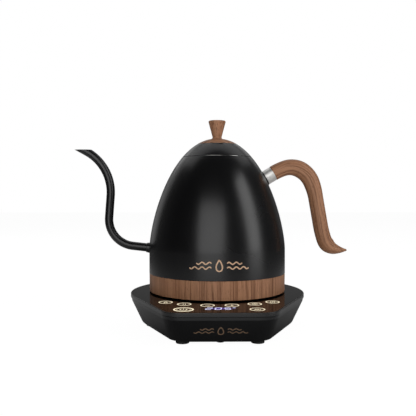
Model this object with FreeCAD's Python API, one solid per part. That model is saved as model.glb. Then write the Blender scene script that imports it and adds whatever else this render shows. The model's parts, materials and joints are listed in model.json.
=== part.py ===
import FreeCAD, Part
import math
import os

# Gooseneck electric kettle on a touch-control base.
# Frame: +Z up, origin on the counter under the kettle's own axis, the display
# faces -Y, the spout points to -X and the handle to +X.  Millimetres, degrees.

Vector = FreeCAD.Vector
UP = Vector(0, 0, 1)

# ---------------------------------------------------------------- base, outside
base_radius = 92.5            # back and sides of the base, seen from above
base_centre_y = -5.0          # centre of that arc
front_reach = 123.5           # from the kettle's axis to the front edge
side_taper = 24.1             # side edges run in towards the front
front_corner_radius = 20.0
foot_drop = 2.8               # how far the feet stand below the housing
slope_height = 22.5           # leaning wall of the lower housing
belt_height = 2.7             # upright belt over it
groove_height = 0.6           # shadow gap between the two housings
rim_height = 3.6              # upright edge of the upper housing
rim_width = 1.8               # its top, beside the touch panel
belt_inset = 0.9
edge_inset = 1.2
side_rake = 25.2
front_rake = 32.0
housing_wall = 2.4
housing_floor = 2.4
floor_round = 1.8
panel_thickness = 2.0
panel_clearance = 0.15
groove_depth = 1.1
lug_radius = 3.5              # small locating lug under the front wall
lug_drop = 1.0

# ---------------------------------------------------------------- base, inside
foot_radius = 6.25
foot_seat = 1.0
foot_margin = 2.6             # from the foot to the start of the rounded edge
front_foot_x = 34.6
side_foot_angle = -18.8
back_foot_angle = 53.0
boss_radius = 4.5
boss_split_z = 14.0           # where the lower and the upper bosses meet
housing_screw_radius = 1.5
screw_angles = (-40.0, 20.0, 72.0)
key_inset = 4.5               # six touch keys on an arc about the kettle's axis
key_angles = (7.5, 22.4, 36.0)
corner_key_inset = 16.5       # two keys beside the display
corner_key_spread = 0.362     # their place sideways, as a part of base_radius
key_spring_radius = 4.0
display_size = (34.0, 13.0)
display_inset = 20.1          # from the front edge to its middle
touch_board_drop = 3.2        # below the top of the lower housing
board_thickness = 1.6
power_board_size = (80.0, 73.0)
power_board_y = -8.5
board_post_height = 2.8
gland_z = 14.0
gland_neck_radius = 6.2
gland_bore_radius = 3.6

# ---------------------------------------------------------------- 360 degree connector
tower_radius = 17.5
tower_rise = 9.8              # above the touch panel
slot_width = 2.2
inner_slot_radius = 7.0       # inner wall of each ring slot
outer_slot_radius = 12.0
pin_bore_radius = 3.4
slot_depth = 9.0
contact_thickness = 0.3
blade_thickness = 0.7
earth_pin_radius = 2.3
moving_clearance = 0.3
coupler_wall = 6.0
coupler_roof = 2.3
coupler_side_clearance = 0.5

# ---------------------------------------------------------------- kettle
kettle_gap = 1.2              # between the touch panel and the wood band
band_height = 19.0
band_thickness = 3.4
body_radius = 73.3
body_wall = 1.0
straight_height = 26.1        # upright wall over the wood band
dome_rise = 118.4             # from there to the top of the dome curve
dome_power = 1.51
dome_root = 2.092
lid_radius = 37.6             # outer radius at the lid seam
lid_gap = 0.7
mouth_ledge = 4.1
neck_depth = 8.2
cover_gap = 1.0               # bottom cover above the foot of the wood band
cover_thickness = 2.4
cover_flange = 1.4
heater_gap = 2.2
heater_plate_thickness = 3.0
floor_thickness = 1.2
heater_ring_gap = 13.0        # from the probe's place to the middle of the ring heater
heater_tube_radius = 3.2
post_radius = 3.0
cover_screw_radius = 1.5
probe_gap = 9.0               # from the connector housing to the probe's axis
probe_radius = 3.0
probe_reach = 9.0

# ---------------------------------------------------------------- spout
spout_radius = 4.5
spout_wall = 0.7
spout_above_band = 26.2
spout_start_rise = 6.5        # first run climbs by this angle
spout_first_run = 18.3
spout_low_bend = 29.0
spout_lean = 4.2              # riser leans back towards the kettle
spout_riser = 23.8
spout_high_bend = 50.0
spout_mouth_angle = 29.0
spout_lip_run = 4.3           # from the last bend to the level cut, on the axis
collar_wall = 0.7
collar_length = 3.2
strainer_radius = 8.0
strainer_thickness = 0.7
strainer_hole_radius = 1.0

# ---------------------------------------------------------------- handle
handle_share = 0.638          # height of its root, as a part of the dome's rise
handle_angle = 31.0
boss_outer_radius = 8.3
boss_show = 0.5
ferrule_radius = 7.9
ferrule_length = 9.7
stud_radius = 3.0
stud_in_grip = 20.0
grip_start = (16.2, 16.2)     # thickness, width
grip_step = 6.0
# each stretch of the grip: radius (0 = straight), turn or length, thickness and width at its end
grip_stretches = (
    (60.0, -13.0, 16.6, 16.8),
    (22.0, -48.0, 18.5, 17.8),
    (27.0, -37.0, 17.8, 18.0),
    (73.0, -13.0, 16.0, 18.0),
    (0.0, 31.0, 16.0, 18.0),
    (115.0, 8.0, 16.2, 18.0),
    (17.0, 28.0, 16.8, 17.6),
    (17.0, 30.0, 11.5, 15.0),
    (40.0, 14.0, 4.0, 8.0),
    (0.0, 2.2, 1.8, 4.5),
)

# ---------------------------------------------------------------- lid
lid_wall = 1.0
cap_radius = 21.6             # wood cap at the crown of the lid
cap_sink = 0.7                # recess that the cap sits in
cap_clearance = 0.3
neck_radius = 5.1             # foot of the knob
knob_neck_height = 1.9
knob_height = 18.0
knob_radius = 9.0
knob_screw_radius = 2.0
knob_screw_reach = 9.0
washer_thickness = 0.8
vent_width = 10.5
vent_depth = 2.2
liner_wall = 0.7
liner_clearance = 1.2
liner_drop = 8.0
gasket_height = 4.0

# ---------------------------------------------------------------- derived heights and radii
floor_bottom = foot_drop
floor_top = floor_bottom + housing_floor
slope_top = floor_bottom + slope_height
bowl_top = slope_top + belt_height
rim_bottom = bowl_top + groove_height
base_top = rim_bottom + rim_height
deck_top = base_top - panel_thickness
tower_top = base_top + tower_rise
slot_floor = tower_top - slot_depth

band_bottom = base_top + kettle_gap
band_top = band_bottom + band_height
straight_top = band_top + straight_height
skirt_radius = body_radius - band_thickness - 0.4
skirt_bore = skirt_radius - body_wall
cover_bottom = band_bottom + cover_gap
cover_top = cover_bottom + cover_thickness
skirt_bottom = cover_bottom + cover_flange + 0.2
coupler_bore = tower_radius + coupler_side_clearance
coupler_radius = coupler_bore + coupler_wall
coupler_ceiling = tower_top + moving_clearance
coupler_top = coupler_ceiling + coupler_roof
probe_place = coupler_radius + probe_gap
heater_ring_radius = probe_place + heater_ring_gap
heater_bottom = coupler_top + heater_gap
kettle_floor_bottom = heater_bottom + heater_plate_thickness
kettle_floor_top = kettle_floor_bottom + floor_thickness
mouth_radius = lid_radius - mouth_ledge
collar_radius = spout_radius + collar_wall
key_arc_radius = base_radius - key_inset
corner_key = (corner_key_spread * base_radius, corner_key_inset - front_reach)
display_y = display_inset - front_reach


# ---------------------------------------------------------------- small helpers
def cylinder(radius, low, high, x=0.0, y=0.0):
    return Part.makeCylinder(radius, high - low, Vector(x, y, low))


def ring(outer, inner, low, high, x=0.0, y=0.0):
    return cylinder(outer, low, high, x, y).cut(cylinder(inner, low - 1, high + 1, x, y))


def block(x_range, y_range, z_range):
    size = [high - low for low, high in (x_range, y_range, z_range)]
    return Part.makeBox(*size, Vector(x_range[0], y_range[0], z_range[0]))


def rod(radius, start, end):
    """Round bar between two points."""
    axis = end - start
    return Part.makeCylinder(radius, axis.Length, start, axis)


def join(shapes):
    solid = shapes[0]
    for shape in shapes[1:]:
        solid = solid.fuse(shape)
    return solid.removeSplitter()


def group(shapes):
    return Part.makeCompound(list(shapes))


def spun(profile):
    """Solid of revolution about the kettle's axis; an entry is a (radius, height) point or a curve."""
    edges = []
    last = None
    first = None
    for item in profile:
        if isinstance(item, tuple):
            start = end = Vector(item[0], 0, item[1])
        else:
            start = item.valueAt(item.FirstParameter)
            end = item.valueAt(item.LastParameter)
        if last is not None and last.distanceToPoint(start) > 1e-6:
            edges.append(Part.makeLine(last, start))
        if not isinstance(item, tuple):
            edges.append(item)
        first = first or start
        last = end
    if last.distanceToPoint(first) > 1e-6:
        edges.append(Part.makeLine(last, first))
    face = Part.Face(Part.Wire(edges))
    return Part.makeSolid(face.revolve(Vector(0, 0, 0), UP, 360).Shells[0])


def polar(radius, angle):
    return (radius * math.cos(math.radians(angle)), radius * math.sin(math.radians(angle)))


def pair(x, y):
    """The same place on the left and on the right."""
    return [(-x, y), (x, y)]


# ---------------------------------------------------------------- the kettle's outline
def dome_radius(z):
    """Outer radius of body and lid at a height: (1 - t^p)^(1/q) over an upright wall."""
    t = min(max((z - straight_top) / dome_rise, 0.0), 1.0)
    return body_radius * (1 - t**dome_power) ** (1 / dome_root)


def dome_height(radius):
    """Height at which the outline has a given radius."""
    t = (1 - (radius / body_radius) ** dome_root) ** (1 / dome_power)
    return straight_top + dome_rise * t


def outline_point(turn):
    """Point of the outline at a turn of 0 (upright wall) to 90 (crown)."""
    c, s = math.cos(math.radians(turn)), math.sin(math.radians(turn))
    return Vector(body_radius * c ** (2 / dome_root), 0, straight_top + dome_rise * s ** (2 / dome_power))


def dome_point(turn, depth):
    """The same point, moved inwards by depth."""
    step = 0.05
    along = outline_point(min(turn + step, 90.0)) - outline_point(max(turn - step, 0.0))
    along = Vector(UP) if turn < step else along.normalize()
    return outline_point(turn) - Vector(along.z, 0, -along.x) * depth


def turn_at(z, depth=0.0):
    """Turn at which the outline, moved inwards by depth, passes a height; found by halving."""
    low, high = 0.0, 90.0
    for _ in range(40):
        middle = (low + high) / 2
        low, high = (middle, high) if dome_point(middle, depth).z < z else (low, middle)
    return low


def radius_at(z, depth=0.0):
    return dome_point(turn_at(z, depth), depth).x


def dome_curve(from_z, to_z, depth=0.0, count=21):
    """Smooth curve along the outline, moved inwards by depth, between two heights."""
    start, end = turn_at(from_z, depth), turn_at(to_z, depth)
    points = [dome_point(start + (end - start) * k / (count - 1), depth) for k in range(count)]
    curve = Part.BSplineCurve()
    curve.interpolate(points)
    return curve.toShape()


seam_low = dome_height(lid_radius) - lid_gap / 2
seam_high = seam_low + lid_gap
cap_edge = dome_height(cap_radius)
cap_floor = cap_edge - cap_sink
knob_foot = dome_height(neck_radius) - 1.0
knob_neck_top = knob_foot + 1.0 + knob_neck_height
knob_top = knob_neck_top + knob_height


def body_block(depth=0.0):
    """Everything inside the kettle's outline, up to the crown."""
    crown = dome_point(90.0, depth).z
    return spun([(0, band_top), (body_radius - depth, band_top),
                 dome_curve(straight_top, crown - 0.05, depth), (0, crown - 0.05)])


# ---------------------------------------------------------------- the base's outline
def base_corners(side_inset, front_inset):
    """Tangent point of the back arc and corner of the front edge, on the right."""
    radius = base_radius - side_inset
    taper = math.radians(side_taper)
    tangent = Vector(radius * math.cos(taper), base_centre_y - radius * math.sin(taper), 0)
    front_y = -(front_reach - front_inset)
    corner = Vector(tangent.x - (tangent.y - front_y) * math.tan(taper), front_y, 0)
    return tangent, corner


def base_outline(z, side_inset, front_inset=None, corner_radius=front_corner_radius):
    """Closed outline of the base: back arc, two tapering sides and a front edge with round corners."""
    front_inset = side_inset if front_inset is None else front_inset
    tangent, corner = base_corners(side_inset, front_inset)
    taper = math.radians(side_taper)
    cut = corner_radius * math.tan(math.radians((90 - side_taper) / 2))
    on_side = corner + Vector(math.sin(taper), math.cos(taper), 0) * cut
    on_front = corner - Vector(cut, 0, 0)
    middle = on_front + Vector(0, corner_radius, 0)
    mid_arc = middle + (corner - middle).normalize() * corner_radius

    def at(point, side):
        return Vector(side * point.x, point.y, z)

    back = Vector(0, base_centre_y + base_radius - side_inset, z)
    edges = [
        Part.Arc(at(tangent, 1), back, at(tangent, -1)).toShape(),
        Part.makeLine(at(tangent, -1), at(on_side, -1)),
        Part.Arc(at(on_side, -1), at(mid_arc, -1), at(on_front, -1)).toShape(),
        Part.makeLine(at(on_front, -1), at(on_front, 1)),
        Part.Arc(at(on_front, 1), at(mid_arc, 1), at(on_side, 1)).toShape(),
        Part.makeLine(at(on_side, 1), at(tangent, 1)),
    ]
    return Part.Wire(edges)


def base_slab(low, high, inset, corner_radius=None):
    """Upright slab with the base's outline."""
    if corner_radius is None:
        corner_radius = front_corner_radius - inset
    outline = base_outline(low, inset, inset, corner_radius)
    return Part.Face(outline).extrude(Vector(0, 0, high - low))


def slope_insets(z, wall=0.0):
    """Side and front inset of the leaning wall at a height, or of its inner face."""
    down = slope_top - z
    side, front = math.radians(side_rake), math.radians(front_rake)
    return (edge_inset + down * math.tan(side) + wall / math.cos(side),
            edge_inset + down * math.tan(front) + wall / math.cos(front))


def base_place(angle, inset):
    """Point inside the side edges at a direction from the back arc's centre, angle 0 at +X."""
    reach = base_radius - inset
    if angle < -side_taper:
        reach /= math.cos(math.radians(angle + side_taper))
    x, y = polar(reach, angle)
    return x, y + base_centre_y


bottom_side_inset, bottom_front_inset = slope_insets(floor_bottom)
inner_side_inset, inner_front_inset = slope_insets(floor_top, housing_wall)
inner_back_y = base_centre_y + base_radius - inner_side_inset

foot_inset = bottom_side_inset + floor_round + foot_margin + foot_radius
foot_places = (pair(front_foot_x, -(front_reach - bottom_front_inset - floor_round - foot_radius - 0.4))
               + pair(*base_place(side_foot_angle, foot_inset - 1.6))
               + pair(*base_place(back_foot_angle, foot_inset - 1.6)))
housing_screw_places = [place for angle in screw_angles
                        for place in pair(*base_place(angle, inner_side_inset + boss_radius + 1.0))]
board_post_places = [(x, power_board_y + side * (power_board_size[1] / 2 - 5.0))
                     for side in (-1, 1) for x in (-power_board_size[0] / 2 + 5.0, power_board_size[0] / 2 - 5.0)]
key_places = [(side * key_arc_radius * math.sin(math.radians(angle)),
               -key_arc_radius * math.cos(math.radians(angle)))
              for angle in key_angles for side in (-1, 1)]
key_places += pair(*corner_key)
touch_post_places = pair(40.0, -68.0) + pair(24.0, -111.0)
connector_screw_places = [polar(tower_radius + 4.2, angle) for angle in (90, 210, 330)]


# ---------------------------------------------------------------- base parts
connector_flange_radius = tower_radius + 7.5
connector_flange = 2.5
touch_board_top = bowl_top - touch_board_drop
touch_board_bottom = touch_board_top - board_thickness
board_bottom = floor_top + board_post_height
board_top = board_bottom + board_thickness
gland_face_y = inner_back_y + 10.6


def make_base_bowl():
    outer = Part.makeLoft([
        base_outline(floor_bottom, bottom_side_inset, bottom_front_inset),
        base_outline(slope_top, edge_inset),
        base_outline(bowl_top, belt_inset)], True, True)
    foot_edges = [edge for edge in outer.Edges
                  if max(abs(v.Z - floor_bottom) for v in edge.Vertexes) < 1e-4]
    outer = outer.makeFillet(floor_round, foot_edges)
    inner_corner = front_corner_radius - housing_wall
    inner = Part.makeLoft([
        base_outline(floor_top, inner_side_inset, inner_front_inset, inner_corner),
        base_outline(slope_top, *slope_insets(slope_top, housing_wall), inner_corner),
        base_outline(bowl_top, belt_inset + housing_wall, None, inner_corner),
        base_outline(bowl_top + 1, belt_inset + housing_wall, None, inner_corner)], True, True)
    bowl = outer.cut(inner)
    pad = Part.makeCylinder(gland_neck_radius + 3.0, 12.0, Vector(0, gland_face_y - 12.0, gland_z), Vector(0, 1, 0))
    add = [pad.cut(inner.translated(Vector(0, -1.0, 0)))]
    add += [cylinder(boss_radius, floor_top - 0.5, boss_split_z, x, y) for x, y in housing_screw_places]
    add += [cylinder(3.0, floor_top - 0.5, board_bottom, x, y) for x, y in board_post_places]
    lug_y = -(front_reach - bottom_front_inset - floor_round - lug_radius)
    add.append(cylinder(lug_radius, floor_bottom - lug_drop, floor_top - 0.5, 0, lug_y))
    bowl = join([bowl] + add)
    for x, y in foot_places:
        bowl = bowl.cut(cylinder(foot_radius + 0.1, floor_bottom - 1, floor_bottom + foot_seat, x, y))
    for x, y in housing_screw_places:
        bowl = bowl.cut(cylinder(3.2, floor_bottom - 1, floor_top + 1.4, x, y))
        bowl = bowl.cut(cylinder(housing_screw_radius + 0.2, floor_bottom, boss_split_z + 1, x, y))
    for x, y in board_post_places:
        bowl = bowl.cut(cylinder(1.25, floor_top, board_bottom + 1, x, y))
    hole = Part.makeCylinder(gland_neck_radius, 40.0, Vector(0, gland_face_y - 30.0, gland_z), Vector(0, 1, 0))
    return bowl.cut(hole)


def make_base_deck():
    deck = join([
        base_slab(rim_bottom, base_top, 0.0),
        base_slab(bowl_top, rim_bottom + 0.5, belt_inset + groove_depth),
    ])
    rim_edges = [edge for edge in deck.Edges
                 if max(abs(v.Z - base_top) for v in edge.Vertexes) < 1e-4]
    deck = deck.makeFillet(0.7, rim_edges)
    deck = deck.cut(base_slab(deck_top, base_top + 1, rim_width))
    lip_outer = belt_inset + housing_wall + 0.8
    lip = base_slab(bowl_top - 2.0, bowl_top + 0.2, lip_outer).cut(
        base_slab(bowl_top - 3.0, bowl_top + 1.0, lip_outer + 1.5))
    add = [lip]
    add += [cylinder(boss_radius - 0.7, boss_split_z, bowl_top + 0.5, x, y) for x, y in housing_screw_places]
    add += [cylinder(2.6, touch_board_top, bowl_top + 0.5, x, y) for x, y in touch_post_places]
    deck = join([deck] + add)
    deck = deck.cut(cylinder(tower_radius + 0.1, bowl_top - 1, base_top))
    half_x, half_y = display_size[0] / 2 + 0.8, display_size[1] / 2 + 0.8
    deck = deck.cut(block((-half_x, half_x), (display_y - half_y, display_y + half_y), (bowl_top - 1, base_top)))
    for x, y in key_places:
        deck = deck.cut(cylinder(key_spring_radius + 1.0, bowl_top - 1, base_top, x, y))
    for x, y in housing_screw_places:
        deck = deck.cut(cylinder(housing_screw_radius, boss_split_z - 1, bowl_top - 2, x, y))
    for x, y in touch_post_places:
        deck = deck.cut(cylinder(1.0, touch_board_top - 1, bowl_top + 0.8, x, y))
    for x, y in connector_screw_places:
        deck = deck.cut(cylinder(1.25, bowl_top - 1, bowl_top + 1.6, x, y))
    return deck


def make_touch_panel():
    panel = base_slab(deck_top, base_top, rim_width + panel_clearance)
    panel = panel.cut(cylinder(tower_radius + 0.3, deck_top - 1, base_top + 1))
    return panel


def make_touch_board():
    board = base_slab(touch_board_bottom, touch_board_top, 8.5)
    board = board.common(block((-80, 80), (-front_reach, -62.0), (touch_board_bottom, touch_board_top)))
    for x, y in touch_post_places:
        board = board.cut(cylinder(1.1, touch_board_bottom - 1, touch_board_top + 1, x, y))
    return board


def make_touch_springs():
    """One conductive spring sleeve per key, from the board to the panel's underside."""
    return group(ring(key_spring_radius, key_spring_radius - 1.0, touch_board_top, deck_top, x, y)
                 for x, y in key_places)


def make_display_module():
    half_x, half_y = display_size[0] / 2, display_size[1] / 2
    return block((-half_x, half_x), (display_y - half_y, display_y + half_y), (touch_board_top, deck_top - 0.2))


def make_power_board():
    half_x, half_y = power_board_size[0] / 2, power_board_size[1] / 2
    board = block((-half_x, half_x), (power_board_y - half_y, power_board_y + half_y), (board_bottom, board_top))
    for x, y in board_post_places:
        board = board.cut(cylinder(1.6, board_bottom - 1, board_top + 1, x, y))
    return board


def on_board(size, place, height):
    """Box-shaped component standing on the power board."""
    x, y = place
    return block((x - size[0] / 2, x + size[0] / 2), (y - size[1] / 2, y + size[1] / 2),
                 (board_top, board_top + height))


def make_transformer():
    core = on_board((20.0, 16.0), (-24.0, -22.0), 11.0)
    return join([core, on_board((14.0, 20.0), (-24.0, -22.0), 9.0)])


def make_capacitors():
    return group(cylinder(4.0, board_top, board_top + 11.5, x, -26.0) for x in (-4.0, 6.0, 16.0))


def make_relay():
    return on_board((19.0, 15.5), (20.0, -6.0), 11.8)


def make_heat_sink():
    """Plate with upright fins for the triac."""
    plate = on_board((24.0, 2.0), (-22.0, 2.0), 11.5)
    fins = [on_board((1.2, 8.0), (-33.0 + 4.4 * k, 5.5), 11.5) for k in range(6)]
    return join([plate] + fins)


def make_triac():
    return on_board((10.0, 4.4), (-22.0, -1.2), 10.0)


def make_buzzer():
    return ring(6.0, 1.0, board_top, board_top + 8.0, 28.0, 14.0)


def make_fuse():
    body = rod(2.6, Vector(-6.0, 18.0, board_top + 4.0), Vector(14.0, 18.0, board_top + 4.0))
    clips = [on_board((2.0, 7.0), (x, 18.0), 4.0).cut(body) for x in (-4.0, 12.0)]
    return group([body] + clips)


def make_terminal_block():
    y = inner_back_y - 24.0
    block_body = block((-15, 15), (y, y + 10), (floor_top, floor_top + 12))
    for x in (-10, 0, 10):
        block_body = block_body.cut(cylinder(2.0, floor_top + 7, floor_top + 13, x, y + 5))
        block_body = block_body.cut(rod(1.6, Vector(x, y - 1, floor_top + 4), Vector(x, y + 11, floor_top + 4)))
    return block_body


def make_terminal_screws():
    y = inner_back_y - 19.0
    return group(cylinder(1.9, floor_top + 7, floor_top + 10, x, y) for x in (-10, 0, 10))


def make_cord_gland():
    axis = Vector(0, 1, 0)
    neck = Part.makeCylinder(gland_neck_radius, 17.0, Vector(0, gland_face_y - 17.0, gland_z), axis)
    flange = Part.makeCylinder(gland_neck_radius + 2.2, 2.6, Vector(0, gland_face_y, gland_z), axis)
    bore = Part.makeCylinder(gland_bore_radius, 30.0, Vector(0, gland_face_y - 20.0, gland_z), axis)
    return join([neck, flange]).cut(bore)


def make_base_feet():
    feet = []
    for x, y in foot_places:
        foot = cylinder(foot_radius, 0.0, floor_bottom + foot_seat, x, y)
        feet.append(foot.makeFillet(0.5, [e for e in foot.Edges if e.BoundBox.ZMax < 0.01]))
    return group(feet)


def screws(places, head_radius, shank_radius, head, shank):
    """Round-headed screws; head and shank are (low, high) heights."""
    return group(join([cylinder(head_radius, head[0], head[1], x, y),
                       cylinder(shank_radius, shank[0], shank[1], x, y)]) for x, y in places)


def make_housing_screws():
    seat = floor_top + 1.4
    return screws(housing_screw_places, 3.0, housing_screw_radius, (seat - 2.2, seat), (seat, bowl_top - 4.0))


def make_board_screws():
    return screws(board_post_places, 2.6, 1.25, (board_top, board_top + 1.8), (floor_top + 0.4, board_top))


def make_touch_board_screws():
    return screws(touch_post_places, 2.2, 1.0,
                  (touch_board_bottom - 1.5, touch_board_bottom), (touch_board_bottom, bowl_top))


def make_connector_screws():
    seat = bowl_top - connector_flange
    return screws(connector_screw_places, 2.4, 1.25, (seat - 1.6, seat), (seat, bowl_top + 1.4))


def make_base_connector():
    low = bowl_top - connector_flange
    connector = join([cylinder(connector_flange_radius, low, bowl_top), cylinder(tower_radius, low, tower_top)])
    crown = [e for e in connector.Edges if abs(e.BoundBox.ZMin - tower_top) < 1e-4]
    connector = connector.makeFillet(0.8, crown)
    connector = connector.cut(cylinder(pin_bore_radius, slot_floor, tower_top + 1))
    for radius in (inner_slot_radius, outer_slot_radius):
        connector = connector.cut(ring(radius + slot_width, radius, slot_floor, tower_top + 1))
    for x, y in connector_screw_places:
        connector = connector.cut(cylinder(1.25, low - 1, bowl_top + 1, x, y))
    return connector


def make_base_ring_contacts():
    """Spring strips on the outer wall of both ring slots."""
    return group(ring(radius + slot_width, radius + slot_width - contact_thickness,
                      slot_floor + 0.5, tower_top - 2.0)
                 for radius in (inner_slot_radius, outer_slot_radius))


def make_base_earth_sleeve():
    return ring(pin_bore_radius, pin_bore_radius - contact_thickness, slot_floor + 0.5, tower_top - 2.0)


# ---------------------------------------------------------------- kettle half of the connector
def make_kettle_connector():
    housing = ring(coupler_radius, coupler_bore, cover_bottom, coupler_top)
    roof = cylinder(coupler_bore + 0.5, coupler_ceiling, coupler_top)
    roof = roof.cut(cylinder(earth_pin_radius, coupler_ceiling - 1, coupler_top + 1))
    for radius in (inner_slot_radius, outer_slot_radius):
        low = radius + (slot_width - contact_thickness - blade_thickness) / 2
        roof = roof.cut(ring(low + blade_thickness, low, coupler_ceiling - 1, coupler_ceiling + 1.2))
    return join([housing, roof])


def make_ring_blades():
    """Two round blades that dip into the base's ring slots."""
    blades = []
    for radius in (inner_slot_radius, outer_slot_radius):
        low = radius + (slot_width - contact_thickness - blade_thickness) / 2
        blades.append(ring(low + blade_thickness, low, slot_floor + 1.5, coupler_ceiling + 1.2))
    return group(blades)


def make_earth_pin():
    pin = cylinder(earth_pin_radius, slot_floor + 0.6, coupler_top + 0.6)
    return pin.makeFillet(1.2, [e for e in pin.Edges if e.BoundBox.ZMax < slot_floor + 0.7])


# ---------------------------------------------------------------- spout and handle paths
def along_stretch(point, heading, radius, amount, part):
    """Place and heading at a part, 0 to 1, of a run (radius 0, amount a length) or a bend (amount a turn).

    Headings and turns are in the XZ plane, from +X towards +Z.
    """
    if radius == 0:
        return point + heading_vector(heading) * (amount * part), heading
    now = heading + amount * part
    a, b = math.radians(heading), math.radians(now)
    chord = Vector(math.sin(b) - math.sin(a), 0, math.cos(a) - math.cos(b))
    return point + chord * math.copysign(radius, amount), now


def heading_vector(heading):
    return Vector(math.cos(math.radians(heading)), 0, math.sin(math.radians(heading)))


def path_edges(point, heading, stretches):
    """Lines and tangent arcs through the stretches."""
    edges = []
    for radius, amount in stretches:
        middle, _ = along_stretch(point, heading, radius, amount, 0.5)
        end, end_heading = along_stretch(point, heading, radius, amount, 1.0)
        edges.append(Part.makeLine(point, end) if radius == 0 else Part.Arc(point, middle, end).toShape())
        point, heading = end, end_heading
    return edges


spout_root_z = band_top + spout_above_band
spout_root = Vector(-dome_radius(spout_root_z), 0, spout_root_z)
spout_heading = 180.0 - spout_start_rise
spout_along = heading_vector(spout_heading)
spout_inside = 6.0            # the tube is drawn from inside the wall, then trimmed
spout_overrun = spout_lip_run + 2.5 * spout_radius / math.tan(math.radians(spout_mouth_angle))
spout_stretches = [
    (0.0, spout_inside + spout_first_run),
    (spout_low_bend, -(90.0 - spout_start_rise + spout_lean)),
    (0.0, spout_riser),
    (spout_high_bend, 90.0 - spout_mouth_angle + spout_lean),
]


def swept_spout(radius):
    start = spout_root - spout_along * spout_inside
    edges = path_edges(start, spout_heading, spout_stretches + [(0.0, spout_overrun)])
    circle = Part.Wire(Part.Circle(start, spout_along, radius).toShape())
    return Part.Wire(edges).makePipeShell([circle], True, False)


def spout_lip_z():
    """Height of the level cut that opens the spout."""
    edges = path_edges(spout_root - spout_along * spout_inside, spout_heading,
                       spout_stretches + [(0.0, spout_lip_run)])
    return edges[-1].valueAt(edges[-1].LastParameter).z


def make_spout_tube():
    tube = swept_spout(spout_radius).cut(swept_spout(spout_radius - spout_wall))
    tube = tube.cut(body_block())
    lip, far = spout_lip_z(), 300.0
    tube = tube.cut(block((-far, far), (-far, far), (lip, lip + far)))
    return max(tube.Solids, key=lambda solid: solid.Volume)


def make_spout_collar():
    end = spout_root + spout_along * collar_length
    collar = rod(collar_radius, spout_root - spout_along * 5.0, end)
    collar = collar.cut(rod(spout_radius, spout_root - spout_along * 6.0, end + spout_along))
    collar = collar.cut(body_block())
    return max(collar.Solids, key=lambda solid: solid.Volume)


def make_spout_strainer():
    """Perforated plate inside the wall, curved as the wall is."""
    inside = dome_radius(spout_root.z + strainer_radius) - body_wall - 0.05
    low, high = spout_root.z - strainer_radius - 1, spout_root.z + strainer_radius + 1
    plate = ring(inside, inside - strainer_thickness, low, high)
    plug = Part.makeCylinder(strainer_radius, 30.0, Vector(-inside - 10, 0, spout_root.z), Vector(1, 0, 0))
    plate = plate.common(plug)
    spots = [(0.0, 0.0)] + [polar(2.6, 60 * k) for k in range(6)]
    for y, z in spots:
        plate = plate.cut(rod(strainer_hole_radius, Vector(-inside - 5, y, spout_root.z + z),
                              Vector(-inside + 10, y, spout_root.z + z)))
    return plate


handle_root_z = straight_top + handle_share * dome_rise
handle_root = Vector(dome_radius(handle_root_z), 0, handle_root_z)
handle_along = heading_vector(handle_angle)
ferrule_start = handle_root + handle_along * boss_show
ferrule_end = ferrule_start + handle_along * ferrule_length


def make_handle_boss():
    boss = rod(boss_outer_radius, handle_root - handle_along * 12.0, ferrule_start)
    boss = boss.cut(body_block())
    return boss.cut(rod(stud_radius, handle_root - handle_along * 20.0, ferrule_end))


def make_handle_ferrule():
    sleeve = rod(ferrule_radius, ferrule_start, ferrule_end)
    sleeve = sleeve.makeFillet(0.4, [e for e in sleeve.Edges if e.Curve.TypeId == "Part::GeomCircle"])
    return sleeve.cut(rod(stud_radius, ferrule_start - handle_along * 5.0, ferrule_end + handle_along * 5.0))


def make_handle_stud():
    head_end = handle_root - handle_along * (2.0 + body_wall)
    head = rod(5.0, head_end - handle_along * 2.0, head_end)
    return join([head, rod(stud_radius, head_end, ferrule_end + handle_along * stud_in_grip)])


def grip_section(point, heading, thickness, width, count=16):
    """Oval section across the grip."""
    across = heading_vector(heading + 90.0)
    turns = [2 * math.pi * k / count for k in range(count)]
    curve = Part.BSplineCurve()
    curve.interpolate([point + across * (thickness / 2 * math.cos(turn)) + Vector(0, width / 2 * math.sin(turn), 0)
                       for turn in turns], True)
    return Part.Wire(curve.toShape())


def make_handle_grip():
    """Loft through ovals set about grip_step apart along the stretches."""
    point, heading, before = ferrule_end, handle_angle, grip_start
    sections = [grip_section(point, heading, *before)]
    for radius, amount, thickness, width in grip_stretches:
        length = amount if radius == 0 else abs(math.radians(amount)) * radius
        steps = max(1, round(length / grip_step))
        for k in range(1, steps + 1):
            part = k / steps
            place, direction = along_stretch(point, heading, radius, amount, part)
            sections.append(grip_section(place, direction, before[0] + (thickness - before[0]) * part,
                                         before[1] + (width - before[1]) * part))
        point, heading = along_stretch(point, heading, radius, amount, 1.0)
        before = (thickness, width)
    grip = Part.makeLoft(sections, True, False)
    return grip.cut(rod(stud_radius, ferrule_start, ferrule_end + handle_along * stud_in_grip))


# ---------------------------------------------------------------- kettle body
def make_kettle_shell():
    shell = spun([
        (skirt_bore, skirt_bottom), (skirt_radius, skirt_bottom), (skirt_radius, band_top),
        (body_radius, band_top), dome_curve(straight_top, seam_low),
        dome_curve(seam_low, straight_top, body_wall),
        (body_radius - body_wall, band_top + body_wall), (skirt_bore, band_top + body_wall),
    ])
    shell = shell.cut(rod(spout_radius - spout_wall, spout_root - spout_along * 12.0, spout_root + spout_along * 4.0))
    return shell.cut(rod(stud_radius, handle_root - handle_along * 15.0, ferrule_end))


def make_mouth_ring():
    """Pressed ring welded into the body: the ledge under the lid's edge and the neck of the mouth."""
    ledge_bottom = seam_low - body_wall
    neck_bottom = seam_low - neck_depth
    return spun([
        (mouth_radius, neck_bottom), (mouth_radius + body_wall, neck_bottom),
        (mouth_radius + body_wall, ledge_bottom), dome_curve(ledge_bottom, seam_low, body_wall),
        (mouth_radius, seam_low),
    ])


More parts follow.
